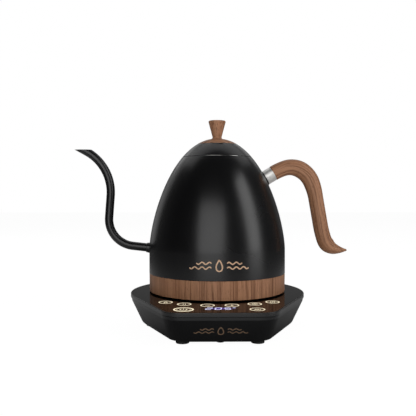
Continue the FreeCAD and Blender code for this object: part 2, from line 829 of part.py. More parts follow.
def make_wood_band():
    inner = skirt_radius + 0.2
    rebate = inner + 1.2
    top_radius, foot_radius_out = body_radius - 0.1, body_radius - 0.3
    step = skirt_bottom
    return spun([(rebate, band_bottom), (foot_radius_out - 0.5, band_bottom), (foot_radius_out, band_bottom + 0.5),
                 (top_radius, band_top), (inner, band_top), (inner, step), (rebate, step)])


def make_kettle_floor():
    floor = cylinder(skirt_bore, kettle_floor_bottom, kettle_floor_top)
    return floor.cut(cylinder(probe_radius, kettle_floor_bottom - 1, kettle_floor_top + 1, probe_place, 0))


heater_plate_radius = skirt_bore - 2 * post_radius - 1.2
post_places = [polar(skirt_bore - post_radius - 0.6, angle) for angle in (30, 150, 270)]


def make_heater_plate():
    plate = cylinder(heater_plate_radius, heater_bottom, kettle_floor_bottom)
    return plate.cut(cylinder(7.0, heater_bottom - 1, kettle_floor_bottom + 1, probe_place, 0))


def make_heating_element():
    """Tubular heater: 300 degrees of a ring, with two cold pins."""
    z = heater_bottom - heater_tube_radius
    element = Part.makeTorus(heater_ring_radius, heater_tube_radius, Vector(0, 0, z), UP, -180, 180, 300)
    element.rotate(Vector(0, 0, 0), UP, 120)
    pins = []
    for angle in (60, 120):
        x, y = polar(heater_ring_radius, angle)
        ahead = Vector(-y, x, 0).normalize() * (4.0 if angle == 60 else -4.0)
        pins.append(rod(1.2, Vector(x, y, z) - ahead * 0.5, Vector(x, y, z) + ahead))
    return join([element] + pins)


def make_cutouts():
    """Two bimetal cut-outs against the heater plate."""
    return group(cylinder(8.0, heater_bottom - 4.6, heater_bottom, x, y)
                 for x, y in (polar(probe_place, 215), polar(probe_place, 325)))


def make_thermal_fuse():
    z = heater_bottom - 2.0
    return rod(2.0, Vector(-probe_place, -7.0, z), Vector(-probe_place, 7.0, z))


def make_probe():
    shaft = cylinder(probe_radius, heater_bottom - 3.0, kettle_floor_top + 2.0, probe_place, 0)
    flange = cylinder(2 * probe_radius, kettle_floor_top + 1.0, kettle_floor_top + 2.0, probe_place, 0)
    tip = cylinder(probe_radius - 0.5, kettle_floor_top + 1.5, kettle_floor_top + 2.0 + probe_reach, probe_place, 0)
    tip = tip.makeFillet(1.5, [e for e in tip.Edges if e.BoundBox.ZMin > kettle_floor_top + 2])
    return join([shaft, flange, tip])


def make_probe_seal():
    return ring(2 * probe_radius, probe_radius, kettle_floor_top, kettle_floor_top + 1.0, probe_place, 0)


def make_probe_nut():
    sides = [Vector(probe_place + x, y, heater_bottom - 0.2) for x, y in (polar(5.6, 60 * k) for k in range(6))]
    nut = Part.Face(Part.makePolygon(sides + sides[:1])).extrude(Vector(0, 0, heater_plate_thickness + 0.2))
    return nut.cut(cylinder(probe_radius, heater_bottom - 2, kettle_floor_top, probe_place, 0))


def make_cover_posts():
    return group(ring(post_radius, cover_screw_radius, cover_top, kettle_floor_bottom, x, y) for x, y in post_places)


def make_kettle_cover():
    cover = join([cylinder(skirt_bore - 0.3, cover_bottom, cover_top),
                  cylinder(skirt_radius + 1.2, cover_bottom, cover_bottom + cover_flange)])
    cover = cover.cut(cylinder(coupler_radius + coupler_side_clearance, cover_bottom - 1, cover_top + 1))
    for x, y in post_places:
        cover = cover.cut(cylinder(3.0, cover_bottom - 1, cover_bottom + 1.6, x, y))
        cover = cover.cut(cylinder(cover_screw_radius, cover_bottom, cover_top + 1, x, y))
    return cover


def make_cover_screws():
    seat = cover_bottom + 1.6
    return screws(post_places, 2.8, cover_screw_radius, (seat - 1.5, seat), (seat, cover_top + 8.0))


# ---------------------------------------------------------------- lid
cap_seat_radius = cap_radius - 0.2
lid_under = cap_floor - lid_wall


def make_lid_dome():
    dome = spun([
        (radius_at(seam_high, lid_wall), seam_high), dome_curve(seam_high, cap_edge),
        (cap_seat_radius, cap_edge), (cap_seat_radius, cap_floor),
        (knob_screw_radius, cap_floor), (knob_screw_radius, lid_under),
        dome_curve(lid_under, seam_high, lid_wall),
    ])
    start = cap_radius + 0.45
    vent = block((-vent_width / 2, vent_width / 2), (-start - vent_depth, -start), (cap_floor - 5, cap_edge + 5))
    return dome.cut(vent)


def make_lid_cap():
    """Wood cap that carries the dome's curve on to the knob."""
    edge_radius = cap_seat_radius - cap_clearance
    return spun([(knob_screw_radius, cap_floor), (edge_radius, cap_floor),
                 dome_curve(dome_height(edge_radius), dome_height(neck_radius)),
                 (neck_radius, knob_foot), (knob_screw_radius, knob_foot)])


def make_lid_knob():
    knob = spun([(0, knob_foot), (neck_radius, knob_foot), (neck_radius, knob_neck_top),
                 (knob_radius, knob_top - 2.0), (knob_radius - 0.1, knob_top - 0.6),
                 (0, knob_top)])
    rim = [e for e in knob.Edges if knob_top - 0.8 < e.BoundBox.ZMin < knob_top - 0.4 and e.BoundBox.XLength > 5]
    knob = knob.makeFillet(0.5, rim)
    return knob.cut(cylinder(knob_screw_radius, knob_foot - 1, knob_foot + knob_screw_reach + 0.5))


def make_knob_screw():
    head_top = lid_under - washer_thickness
    head = cylinder(4.0, head_top - 2.4, head_top)
    return join([head, cylinder(knob_screw_radius, head_top - 0.2, knob_foot + knob_screw_reach)])


def make_knob_washer():
    return ring(6.0, knob_screw_radius, lid_under - washer_thickness, lid_under)


liner_radius = mouth_radius - liner_clearance
liner_bottom = seam_low - liner_drop
liner_flange_bottom = seam_low + moving_clearance


def make_lid_liner():
    top = liner_flange_bottom + liner_wall
    flange_radius = radius_at(top, lid_wall) - 0.15
    liner = spun([(0, liner_bottom), (liner_radius, liner_bottom), (liner_radius, liner_flange_bottom),
                  (flange_radius, liner_flange_bottom), (flange_radius, top), (liner_radius - liner_wall, top),
                  (liner_radius - liner_wall, liner_bottom + liner_wall), (0, liner_bottom + liner_wall)])
    for k in range(8):
        x, y = polar(20.0, 45 * k)
        liner = liner.cut(cylinder(1.5, liner_bottom - 1, liner_bottom + 2, x, y))
    return liner


def make_lid_gasket():
    """Silicone ring with two lips round the liner."""
    low = liner_bottom + 1.6
    core, lip = liner_radius + 0.4, liner_radius + liner_clearance - 2 * moving_clearance + 0.2
    high = low + gasket_height
    return spun([(liner_radius, low), (core, low), (lip, low + 0.3), (core, low + 1.1),
                 (core, high - 1.1), (lip, high - 0.8), (core, high), (liner_radius, high)])


# ---------------------------------------------------------------- build and write
MAKERS = {
    "base_bowl": make_base_bowl,
    "base_deck": make_base_deck,
    "touch_panel": make_touch_panel,
    "touch_board": make_touch_board,
    "touch_springs": make_touch_springs,
    "display_module": make_display_module,
    "power_board": make_power_board,
    "transformer": make_transformer,
    "filter_capacitors": make_capacitors,
    "power_relay": make_relay,
    "heat_sink": make_heat_sink,
    "triac": make_triac,
    "buzzer": make_buzzer,
    "board_fuse": make_fuse,
    "terminal_block": make_terminal_block,
    "terminal_screws": make_terminal_screws,
    "cord_gland": make_cord_gland,
    "base_feet": make_base_feet,
    "housing_screws": make_housing_screws,
    "board_screws": make_board_screws,
    "touch_board_screws": make_touch_board_screws,
    "connector_screws": make_connector_screws,
    "base_connector": make_base_connector,
    "base_ring_contacts": make_base_ring_contacts,
    "base_earth_sleeve": make_base_earth_sleeve,
    "kettle_connector": make_kettle_connector,
    "ring_blades": make_ring_blades,
    "earth_pin": make_earth_pin,
    "kettle_shell": make_kettle_shell,
    "mouth_ring": make_mouth_ring,
    "wood_band": make_wood_band,
    "spout_tube": make_spout_tube,
    "spout_collar": make_spout_collar,
    "spout_strainer": make_spout_strainer,
    "handle_boss": make_handle_boss,
    "handle_ferrule": make_handle_ferrule,
    "handle_stud": make_handle_stud,
    "handle_grip": make_handle_grip,
    "kettle_floor": make_kettle_floor,
    "heater_plate": make_heater_plate,
    "heating_element": make_heating_element,
    "thermal_cutouts": make_cutouts,
    "thermal_fuse": make_thermal_fuse,
    "temperature_probe": make_probe,
    "probe_seal": make_probe_seal,
    "probe_nut": make_probe_nut,
    "cover_posts": make_cover_posts,
    "kettle_cover": make_kettle_cover,
    "cover_screws": make_cover_screws,
    "lid_dome": make_lid_dome,
    "lid_cap": make_lid_cap,
    "lid_knob": make_lid_knob,
    "knob_screw": make_knob_screw,
    "knob_washer": make_knob_washer,
    "lid_liner": make_lid_liner,
    "lid_gasket": make_lid_gasket,
}


def main():
    os.makedirs("parts", exist_ok=True)
    for name, make in MAKERS.items():
        shape = make()
        if not shape.isValid() or not shape.Solids:
            raise ValueError(name + " is not a valid solid")
        shape.exportStep(os.path.join("parts", name + ".step"))


main()
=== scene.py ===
"""Gooseneck electric kettle with a wood grip, on a touch-control base: its visible pieces and finishes.

Frame: +Z up, origin on the counter under the kettle's axis, the display faces -Y, the spout points to -X
and the handle to +X.  Everything is in metres; MM turns millimetres into metres.
"""
import json
from math import cos, pi, radians, sin, tan

import bmesh
import bpy
import numpy as np
from bpy.props import FloatProperty, FloatVectorProperty, PointerProperty
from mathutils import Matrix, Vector


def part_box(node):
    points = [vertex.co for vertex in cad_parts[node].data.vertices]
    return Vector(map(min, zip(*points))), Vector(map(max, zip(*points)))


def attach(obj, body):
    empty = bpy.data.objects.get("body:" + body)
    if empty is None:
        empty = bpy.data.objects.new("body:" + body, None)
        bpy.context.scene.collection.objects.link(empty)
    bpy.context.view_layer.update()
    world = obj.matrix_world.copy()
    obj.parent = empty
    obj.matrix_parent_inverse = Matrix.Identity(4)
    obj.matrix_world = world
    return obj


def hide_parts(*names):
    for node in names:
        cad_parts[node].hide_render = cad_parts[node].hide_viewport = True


bl_info = {
    "name": "Gooseneck kettle",
    "version": (1, 0, 0),
    "blender": (4, 5, 0),
    "location": "3D View > Sidebar > Kettle",
    "description": "Electric gooseneck kettle with a wood grip on a touch-control base",
    "category": "Object",
}

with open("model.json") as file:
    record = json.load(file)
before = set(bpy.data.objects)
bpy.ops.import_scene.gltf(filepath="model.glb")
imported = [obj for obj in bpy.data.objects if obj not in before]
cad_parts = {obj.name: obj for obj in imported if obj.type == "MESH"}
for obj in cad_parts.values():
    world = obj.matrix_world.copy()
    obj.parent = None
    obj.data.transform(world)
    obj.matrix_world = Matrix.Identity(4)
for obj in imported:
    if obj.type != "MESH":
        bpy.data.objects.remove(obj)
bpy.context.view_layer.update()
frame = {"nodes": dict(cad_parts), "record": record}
MM = 0.001
HAIR = 1e-5    # a height step so small that the outline's radius is the same
SHELL_LOW, SHELL_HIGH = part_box("kettle_shell")
BAND_LOW, BAND_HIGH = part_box("wood_band")
KNOB_LOW, KNOB_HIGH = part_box("lid_knob")
PANEL_LOW, PANEL_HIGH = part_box("touch_panel")
BOWL_LOW, BOWL_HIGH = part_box("base_bowl")
DECK_LOW, DECK_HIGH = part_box("base_deck")


# ---------------------------------------------------------------- sizes and colours a user would change
def length(name, description, default):
    """Size in metres."""
    return FloatProperty(name=name, description=description, default=default, unit="LENGTH",
                         subtype="DISTANCE", precision=5)


def angle(name, description, degrees):
    """Angle, given in degrees and kept in radians."""
    return FloatProperty(name=name, description=description, default=radians(degrees), unit="ROTATION",
                         subtype="ANGLE")


def number(name, description, default):
    """Plain number."""
    return FloatProperty(name=name, description=description, default=default)


def colour(name, description, default):
    """Linear colour of three channels."""
    return FloatVectorProperty(name=name, description=description, default=default, size=3, min=0.0, max=1.0,
                               subtype="COLOR")


class KettleBodySizes(bpy.types.PropertyGroup):
    """Outline of the kettle's body and lid."""
    radius: length("Radius", "Outer radius of the upright wall", SHELL_HIGH.y)
    straight_top: length("Upright wall top", "Height at which the dome starts", BAND_HIGH.z + 26.1 * MM)
    dome_rise: length("Dome rise", "From the upright wall to the top of the dome curve", 118.4 * MM)
    dome_power: number("Dome power", "Power of the height in the dome's curve", 1.51)
    dome_root: number("Dome root", "Root of the radius in the dome's curve", 2.092)
    wall: length("Wall", "Thickness of the steel", 1.0 * MM)
    mouth_radius: length("Mouth", "Inner radius of the mouth", 33.5 * MM)
    band_inner: length("Band bore", "Inner radius of the wood band", 69.7 * MM)


class KettleSpoutSizes(bpy.types.PropertyGroup):
    """Gooseneck and its collar."""
    radius: length("Radius", "Outer radius of the tube", 4.5 * MM)
    wall: length("Wall", "Thickness of the tube", 0.7 * MM)
    root_height: length("Root", "Height of the tube's axis at the body", BAND_HIGH.z + 26.2 * MM)
    start_rise: angle("First rise", "Climb of the first run", 6.5)
    first_run: length("First run", "Length of the first run", 18.3 * MM)
    low_bend: length("Low bend", "Radius of the low bend", 29.0 * MM)
    lean: angle("Lean", "Lean of the riser back to the kettle", 4.2)
    riser: length("Riser", "Length of the riser", 23.8 * MM)
    high_bend: length("High bend", "Radius of the high bend", 50.0 * MM)
    mouth_angle: angle("Mouth angle", "Climb of the axis at the mouth", 29.0)
    lip_run: length("Lip run", "From the last bend to the level cut", 4.3 * MM)
    collar_wall: length("Collar wall", "Thickness of the collar", 0.7 * MM)
    collar_length: length("Collar length", "Length of the collar", 3.2 * MM)


class KettleHandleSizes(bpy.types.PropertyGroup):
    """Boss, ferrule and grip."""
    root_share: number("Root height", "Height of the root as a part of the dome's rise", 0.638)
    angle: angle("Angle", "Climb of the ferrule's axis", 31.0)
    boss_radius: length("Boss radius", "Radius of the black boss", 8.3 * MM)
    boss_show: length("Boss length", "How much of the boss shows", 0.5 * MM)
    ferrule_radius: length("Ferrule radius", "Radius of the steel sleeve", 7.9 * MM)
    ferrule_length: length("Ferrule length", "Length of the steel sleeve", 9.7 * MM)
    stud_radius: length("Stud radius", "Radius of the threaded rod in the grip", 3.0 * MM)


class KettleLidSizes(bpy.types.PropertyGroup):
    """Cap, knob and vent of the lid."""
    seam_gap: length("Seam", "Gap between the lid and the body", 0.48 * MM)
    cap_radius: length("Cap radius", "Radius of the wood cap", 21.6 * MM)
    cap_sink: length("Cap sink", "Depth of the recess under the cap", 0.7 * MM)
    neck_radius: length("Neck radius", "Radius at the foot of the knob", 4.9 * MM)
    neck_height: length("Neck height", "Height of the knob's foot over the cap", 1.9 * MM)
    knob_radius: length("Knob radius", "Radius at the top of the knob", 9.3 * MM)
    vent_width: length("Vent width", "Width of the steam slot", 10.5 * MM)
    vent_reach: length("Vent reach", "Size of the slot from the cap outwards", 2.2 * MM)
    vent_dent: length("Vent dent", "Depth of the slot in the dome", 0.85 * MM)


class KettleBaseSizes(bpy.types.PropertyGroup):
    """Outline of the base and its edges."""
    radius: length("Radius", "Radius of the back and sides", 92.5 * MM)
    centre_y: length("Centre", "Centre of the back arc along Y", -5.0 * MM)
    front_reach: length("Front", "From the kettle's axis to the front edge", -DECK_LOW.y)
    taper: angle("Taper", "Angle of the side edges", 24.1)
    corner_radius: length("Corner", "Radius of the front corners", 20.0 * MM)
    slope_height: length("Slope", "Height of the leaning wall", 22.5 * MM)
    front_rake: angle("Front rake", "Lean of the front wall", 32.0)
    edge_inset: length("Edge inset", "Top of the leaning wall, in from the rim", 1.2 * MM)
    belt_inset: length("Belt inset", "Top of the lower housing, in from the rim", 0.9 * MM)
    groove_depth: length("Groove", "Depth of the shadow gap", 1.1 * MM)
    rim_width: length("Rim", "Width of the rim beside the panel", 1.8 * MM)
    tower_radius: length("Tower", "Radius of the connector's tower", 17.5 * MM)
    foot_radius: length("Foot radius", "Radius of the rubber feet", 6.25 * MM)


class KettleFinishes(bpy.types.PropertyGroup):
    """Colours of the visible surfaces."""
    coat: colour("Coat", "Black powder coat of the body", (0.0055, 0.0055, 0.0060))
    housing: colour("Housing", "Black housing of the base", (0.0110, 0.0110, 0.0115))
    panel: colour("Panel", "Polished touch panel", (0.0028, 0.0026, 0.0026))
    wood_light: colour("Wood, light", "Light streaks of the walnut", (0.50, 0.252, 0.138))
    wood_middle: colour("Wood, middle", "Body colour of the walnut", (0.455, 0.220, 0.118))
    wood_dark: colour("Wood, dark", "Dark streaks of the walnut", (0.185, 0.078, 0.036))
    steel: colour("Steel", "Polished and brushed steel", (0.72, 0.71, 0.69))
    key_print: colour("Key print", "Lit print of the touch keys", (0.84, 0.74, 0.53))
    mark: colour("Mark", "Tan mark on the body", (0.86, 0.56, 0.36))
    figures: colour("Figures", "Lit figures of the display", (0.72, 0.74, 1.0))
    glow: colour("Glow", "Glow round the figures", (0.07, 0.05, 0.42))
    ferrule_gain: number("Ferrule gain", "How much paler the ferrule is than the steel", 1.25)
    dim_mark: number("Dim mark", "Share of the mark's colour in the one on the base", 0.40)


class KettleStudioSizes(bpy.types.PropertyGroup):
    """Camera and floor."""
    camera_x: length("Camera X", "Place of the camera", -18.5 * MM)
    camera_y: length("Camera Y", "Place of the camera", -628.0 * MM)
    camera_z: length("Camera Z", "Height of the camera", 135.4 * MM)
    yaw: angle("Yaw", "Turn of the camera to the right", 0.79)
    pitch: angle("Pitch", "How far the camera looks down", 1.245)
    lens: number("Lens", "Focal length in millimetres on a 36 mm sensor", 50.0)
    floor_size: length("Floor", "Side of the floor", 8.0)


# ---------------------------------------------------------------- surfaces
def grid_surface(points, closed_rows=False, first_pole=None, last_pole=None):
    """Closed surface over a grid: point (i, j) joins (i, j+1), (i+1, j+1) and (i+1, j); j runs round.

    closed_rows joins the last row to the first; a pole closes an end with a fan of triangles.
    Faces are turned outwards by the sign of the enclosed volume.
    """
    rows, columns = points.shape[:2]
    index = np.arange(rows * columns).reshape(rows, columns)
    right = np.roll(index, -1, axis=1)
    below, below_right = np.roll(index, -1, axis=0), np.roll(right, -1, axis=0)
    quads = np.stack([index, right, below_right, below], axis=-1)
    quads = (quads if closed_rows else quads[:-1]).reshape(-1, 4)
    vertices = points.reshape(-1, 3)
    fans = [np.zeros((0, 3), int)]
    if first_pole is not None:
        pole = np.full(columns, len(vertices))
        vertices = np.vstack([vertices, first_pole])
        fans.append(np.stack([pole, right[0], index[0]], axis=-1))
    if last_pole is not None:
        pole = np.full(columns, len(vertices))
        vertices = np.vstack([vertices, last_pole])
        fans.append(np.stack([index[-1], right[-1], pole], axis=-1))
    fans = np.concatenate(fans)
    triangles = np.concatenate([quads[:, :3], quads[:, [0, 2, 3]], fans])
    a, b, c = (vertices[triangles[:, k]] for k in range(3))
    if np.einsum("ij,ij->", a, np.cross(b, c)) < 0:
        quads, fans = quads[:, ::-1], fans[:, ::-1]
    return vertices, quads, fans


def merged(surfaces):
    """Several surfaces as one: vertices stacked, face numbers shifted by the vertices before them."""
    starts = np.cumsum([0] + [len(surface[0]) for surface in surfaces[:-1]])
    return (np.vstack([surface[0] for surface in surfaces]),
            np.vstack([surface[1] + start for surface, start in zip(surfaces, starts)]),
            np.vstack([surface[2] + start for surface, start in zip(surfaces, starts)]))


def rounded(corners, steps=6):
    """Corners with soft edges: each row is (coordinates..., reach).

    Corner P with neighbours A and B becomes (1-s)^2 A' + 2s(1-s) P + s^2 B', where A' and B' lie reach away
    from P, with one more row on each flat side to hold the shading.
    """
    corners = np.asarray(corners, float)
    points, reach = corners[:, :-1], corners[:, -1:]
    back, ahead = np.roll(points, 1, axis=0) - points, np.roll(points, -1, axis=0) - points
    back_long = np.linalg.norm(back, axis=1, keepdims=True)
    ahead_long = np.linalg.norm(ahead, axis=1, keepdims=True)
    back_unit = back / np.maximum(back_long, 1e-9)
    ahead_unit = ahead / np.maximum(ahead_long, 1e-9)
    start, end = points + back_unit * reach, points + ahead_unit * reach
    s = np.linspace(0, 1, steps)[None, :, None]
    curve = (1 - s) ** 2 * start[:, None] + 2 * s * (1 - s) * points[:, None] + s**2 * end[:, None]
    hold, share = 1.7 * reach, 0.48
    hold_back = points + back_unit * np.minimum(hold, share * np.maximum(back_long, reach / share))
    hold_ahead = points + ahead_unit * np.minimum(hold, share * np.maximum(ahead_long, reach / share))
    rows = np.concatenate([hold_back[:, None], curve, hold_ahead[:, None]], axis=1)
    rows = rows.reshape(-1, points.shape[1])
    apart = np.linalg.norm(rows - np.roll(rows, 1, axis=0), axis=1) > 1e-7
    apart[0] = True
    return rows[apart]


def turned(profile, count=224, origin=(0, 0, 0), axis=(0, 0, 1)):
    """Profile of (radius, height) rows carried round an axis.

    point(i, a) = origin + axis * height(i) + (side * cos a + other * sin a) * radius(i).
    A profile that starts and ends on the axis gets poles there; any other closes on itself.
    """
    profile = np.asarray(profile, float)
    axis = np.asarray(axis, float) / np.linalg.norm(axis)
    other = np.array([0.0, 1.0, 0.0])
    side = np.cross(other, axis)
    side /= np.linalg.norm(side)
    turn = np.linspace(0, 2 * pi, count, endpoint=False)
    around = np.outer(np.cos(turn), side) + np.outer(np.sin(turn), other)
    points = (np.asarray(origin) + profile[:, 1, None, None] * axis
              + profile[:, 0, None, None] * around[None])
    if profile[0, 0] > 0:
        return grid_surface(points, closed_rows=True)
    return grid_surface(points[1:-1], False, points[0, 0], points[-1, 0])


def path_point(s, start, heading, stretches):
    """Place and heading in the XZ plane at distances s along stretches.

    A stretch is a run (radius 0, length) or a bend (radius, turn).  The place is the start plus each
    stretch's own share: length times direction for a run, and radius * (sin h1 - sin h0, cos h0 - cos h1)
    for a bend from heading h0 to h1.
    """
    s = np.asarray(s, float)
    x, z, now = np.full_like(s, start[0]), np.full_like(s, start[1]), np.full_like(s, heading)
    before, h0 = 0.0, heading
    for radius, amount in stretches:
        long = amount if radius == 0 else abs(amount) * radius
        part = np.clip(s - before, 0, long)
        if radius == 0:
            x, z = x + part * cos(h0), z + part * sin(h0)
        else:
            h1 = h0 + amount * part / long
            turn_side = np.sign(amount)
            x = x + turn_side * radius * (np.sin(h1) - sin(h0))
            z = z + turn_side * radius * (cos(h0) - np.cos(h1))
            now = now + (h1 - h0)
            h0 += amount
        before += long
    return x, z, now


def path_length(stretches):
    """Sum of the runs' lengths and of the bends' radius * |turn|."""
    return sum(amount if radius == 0 else abs(amount) * radius for radius, amount in stretches)


def stroke(path, width, place, closed=False, low=-0.02 * MM, high=0.05 * MM):
    """Thin printed line: a flat bar of the given width carried along a 2-D path, then put on a surface.

    Corner k of the section is path + normal * (+-width/2), at height low or high over the surface.
    """
    path = np.asarray(path, float)
    if closed:
        along = np.roll(path, -1, axis=0) - np.roll(path, 1, axis=0)
    else:
        along = np.gradient(path, axis=0)
    along /= np.linalg.norm(along, axis=1, keepdims=True)
    normal = np.stack([-along[:, 1], along[:, 0]], axis=1) * width / 2
    sides = np.stack([path - normal, path + normal, path + normal, path - normal], axis=1)
    height = np.broadcast_to([low, low, high, high], sides.shape[:2])
    points = place(sides[..., 0], sides[..., 1], height)
    if closed:
        return grid_surface(points, closed_rows=True)
    return grid_surface(points, False, points[0].mean(0), points[-1].mean(0))


def arc(x, y, radius, start=0.0, end=360.0, count=48):
    """Points on a circle from one angle to another, in degrees."""
    turn = np.radians(np.linspace(start, end, count, endpoint=abs(end - start) < 360))
    return np.stack([x + radius * np.cos(turn), y + radius * np.sin(turn)], axis=1)


def line(x0, y0, x1, y1, count=6):
    """Points spread evenly between two ends."""
    return np.stack([np.linspace(x0, x1, count), np.linspace(y0, y1, count)], axis=1)


def linked(name, data):
    """Object for a mesh, lamp or camera, in the scene."""
    made = bpy.data.objects.new(name, data)
    bpy.context.scene.collection.objects.link(made)
    return made


def finished(name, mesh, material, body, nodes, sharp):
    """Smooth-shaded object for a mesh; it rides on a body and stands for CAD nodes."""
    mesh.polygons.foreach_set("use_smooth", np.ones(len(mesh.polygons), bool))
    mesh.set_sharp_from_angle(angle=radians(sharp))
    mesh.materials.clear()
    mesh.materials.append(material)
    piece = linked(name, mesh)
    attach(piece, body)
    if nodes:
        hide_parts(*nodes)
    return piece


def make_piece(name, surface, material, body, nodes=(), grain=None, sharp=38.0):
    """Piece at the origin for a surface; edges sharper than the given degrees stay hard.

    grain holds one vector for each point, for the wood to follow.
    """
    vertices, quads, fans = surface
    mesh = bpy.data.meshes.new(name)
    mesh.from_pydata(vertices.tolist(), [], quads.tolist() + fans.tolist())
    if grain is not None:
        layer = mesh.attributes.new("grain", "FLOAT_VECTOR", "POINT")
        layer.data.foreach_set("vector", np.asarray(grain, np.float32).ravel())
    return finished(name, mesh, material, body, nodes, sharp)


def coated(name, surface, body, node):
    """Piece in the black coat of the kettle's body."""
    return make_piece(name, surface, coat(), body, [node])


def wooden(name, surface, body, node, grain, sharp=38.0):
    """Piece of walnut."""
    return make_piece(name, surface, walnut(), body, [node], grain, sharp)


def merged_copy(name, node, material, body, sharp=16.0):
    """Copy of a CAD node's mesh with its seams joined and its curved faces shaded smooth."""
    mesh = frame["nodes"][node].data.copy()
    mesh.name = name
    work = bmesh.new()
    work.from_mesh(mesh)
    bmesh.ops.remove_doubles(work, verts=work.verts, dist=1e-6)
    work.to_mesh(mesh)
    work.free()
    for layer in ("sharp_edge", "custom_normal"):
        if layer in mesh.attributes:
            mesh.attributes.remove(mesh.attributes[layer])
    return finished(name, mesh, material, body, [node], sharp)


# ---------------------------------------------------------------- the kettle's outline
def dome_radius(z):
    """R * (1 - t^power)^(1/root), with t the height over the upright wall as a part of the rise."""
    sizes = bpy.context.scene.kettle_body
    t = np.clip((np.asarray(z, float) - sizes.straight_top) / sizes.dome_rise, 0, 1)
    return sizes.radius * (1 - t**sizes.dome_power) ** (1 / sizes.dome_root)


def dome_height(radius):
    """The same curve read the other way: the height with a given radius."""
    sizes = bpy.context.scene.kettle_body
    t = (1 - (radius / sizes.radius) ** sizes.dome_root) ** (1 / sizes.dome_power)
    return sizes.straight_top + sizes.dome_rise * t


def dome_rows(low, high, depth=0.0, count=60):
    """(radius, height) rows on the outline moved inwards by depth along its normal, from low to high."""
    sizes = bpy.context.scene.kettle_body
    share = (1 - np.cos(np.linspace(0, pi, 3000))) / 2
    z = sizes.straight_top - 4 * MM + (sizes.dome_rise + 4 * MM - 1e-6) * share
    r = dome_radius(z)
    dr, dz = np.gradient(r), np.gradient(z)
    long = np.hypot(dr, dz)
    inner_r, inner_z = r - depth * dz / long, z + depth * dr / long
    heights = np.linspace(low, high, count)
    return np.stack([np.interp(heights, inner_z, inner_r), heights], axis=1)


def inner_radius(z, depth):
    """Radius at a height on the outline moved inwards."""
    return float(dome_rows(z, z + HAIR, depth, 2)[0, 0])


def plain(rows):
    """Rows with no rounding, to go between rounded corners."""
    return np.hstack([rows, np.zeros((len(rows), 1))])


def upright_grain(surface, shift=0.0):
    """Grain that runs up: (height, x, y) of each point, with a shift for another piece of the same wood."""
    x, y, z = surface[0].T
    return np.stack([z + shift, x + shift, y], axis=1)


# ---------------------------------------------------------------- node tools
def fill(tree, node, sockets):
    """Give each input of a node a value, or a link from another node's output."""
    for key, value in sockets.items():
        if isinstance(value, bpy.types.NodeSocket):
            tree.links.new(value, node.inputs[key])
        else:
            node.inputs[key].default_value = value


def new_node(tree, kind, label="", sockets=None, **settings):
    """Shader node with its settings and its filled inputs."""
    node = tree.nodes.new("ShaderNode" + kind)
    node.label = label
    for key, value in settings.items():
        setattr(node, key, value)
    fill(tree, node, sockets or {})
    return node


def mapped(tree, source, scale, label):
    """Coordinates stretched for a pattern."""
    return new_node(tree, "Mapping", label, {"Vector": source, "Scale": scale}).outputs["Vector"]


def noise(tree, vector, scale, detail, roughness, label):
    """Share of a noise pattern at stretched coordinates."""
    return new_node(tree, "TexNoise", label, {"Vector": vector, "Scale": scale, "Detail": detail,
                                              "Roughness": roughness}).outputs["Fac"]


def spread(tree, value, low, high, to_low=0.0, to_high=1.0, label=""):
    """Value carried from the range low to high onto another range."""
    return new_node(tree, "MapRange", label, {"Value": value, "From Min": low, "From Max": high,
                                              "To Min": to_low, "To Max": to_high}).outputs["Result"]


def blended(tree, share, first, second, label=""):
    """Mix of two colours by a share."""
    return new_node(tree, "Mix", label, {0: share, 6: first, 7: second}, data_type="RGBA").outputs[2]


def maths(tree, operation, first, second=0.0, label=""):
    """Result of one operation on two numbers or links."""
    return new_node(tree, "Math", label, {0: first, 1: second}, operation=operation).outputs[0]


def distance(tree, vector):
    """Length of a vector."""
    return new_node(tree, "VectorMath", "distance", {0: vector}, operation="LENGTH").outputs["Value"]


# ---------------------------------------------------------------- shared effects
def shared_group(name, inputs, build):
    """Node group built once, with named inputs; build returns its colour, roughness and height."""
    if name in bpy.data.node_groups:
        return bpy.data.node_groups[name]
    tree = bpy.data.node_groups.new(name, "ShaderNodeTree")
    for socket, kind, default in inputs:
        made = tree.interface.new_socket(socket, in_out="INPUT", socket_type="NodeSocket" + kind)
        if default is not None:
            made.default_value = default
    for socket, kind in (("Colour", "Color"), ("Roughness", "Float"), ("Height", "Float")):
        tree.interface.new_socket(socket, in_out="OUTPUT", socket_type="NodeSocket" + kind)
    start, end = tree.nodes.new("NodeGroupInput"), tree.nodes.new("NodeGroupOutput")
    for made, socket in zip(build(tree, start.outputs), ("Colour", "Roughness", "Height")):
        tree.links.new(made, end.inputs[socket])
    return tree


def skin_group():
    """Fine texture of a moulded, coated or rubbed surface: grit, and marks left by handling."""
    def build(tree, given):
        grit = noise(tree, given["Vector"], given["Grit Scale"], 2.0, 0.6, "grit")
        marks = noise(tree, given["Vector"], given["Cloud Scale"], 4.0, 0.55, "handling marks")
        cloud = spread(tree, marks, 0.35, 0.68, label="cloud")
        fleck = spread(tree, grit, 0.55, 0.75, 0.0, 0.6, "fleck")
        worn = maths(tree, "MAXIMUM", maths(tree, "MULTIPLY", cloud, 0.45), fleck, "worn")
        return (blended(tree, worn, given["Colour"], given["Worn Colour"]),
                spread(tree, cloud, 0.0, 1.0, given["Smooth"], given["Rough"]), grit)

    return shared_group("surface skin", [
        ("Vector", "Vector", None), ("Grit Scale", "Float", 1500.0), ("Cloud Scale", "Float", 20.0),
        ("Colour", "Color", (0.02, 0.02, 0.02, 1)), ("Worn Colour", "Color", (0.03, 0.03, 0.03, 1)),
        ("Smooth", "Float", 0.35), ("Rough", "Float", 0.45)], build)


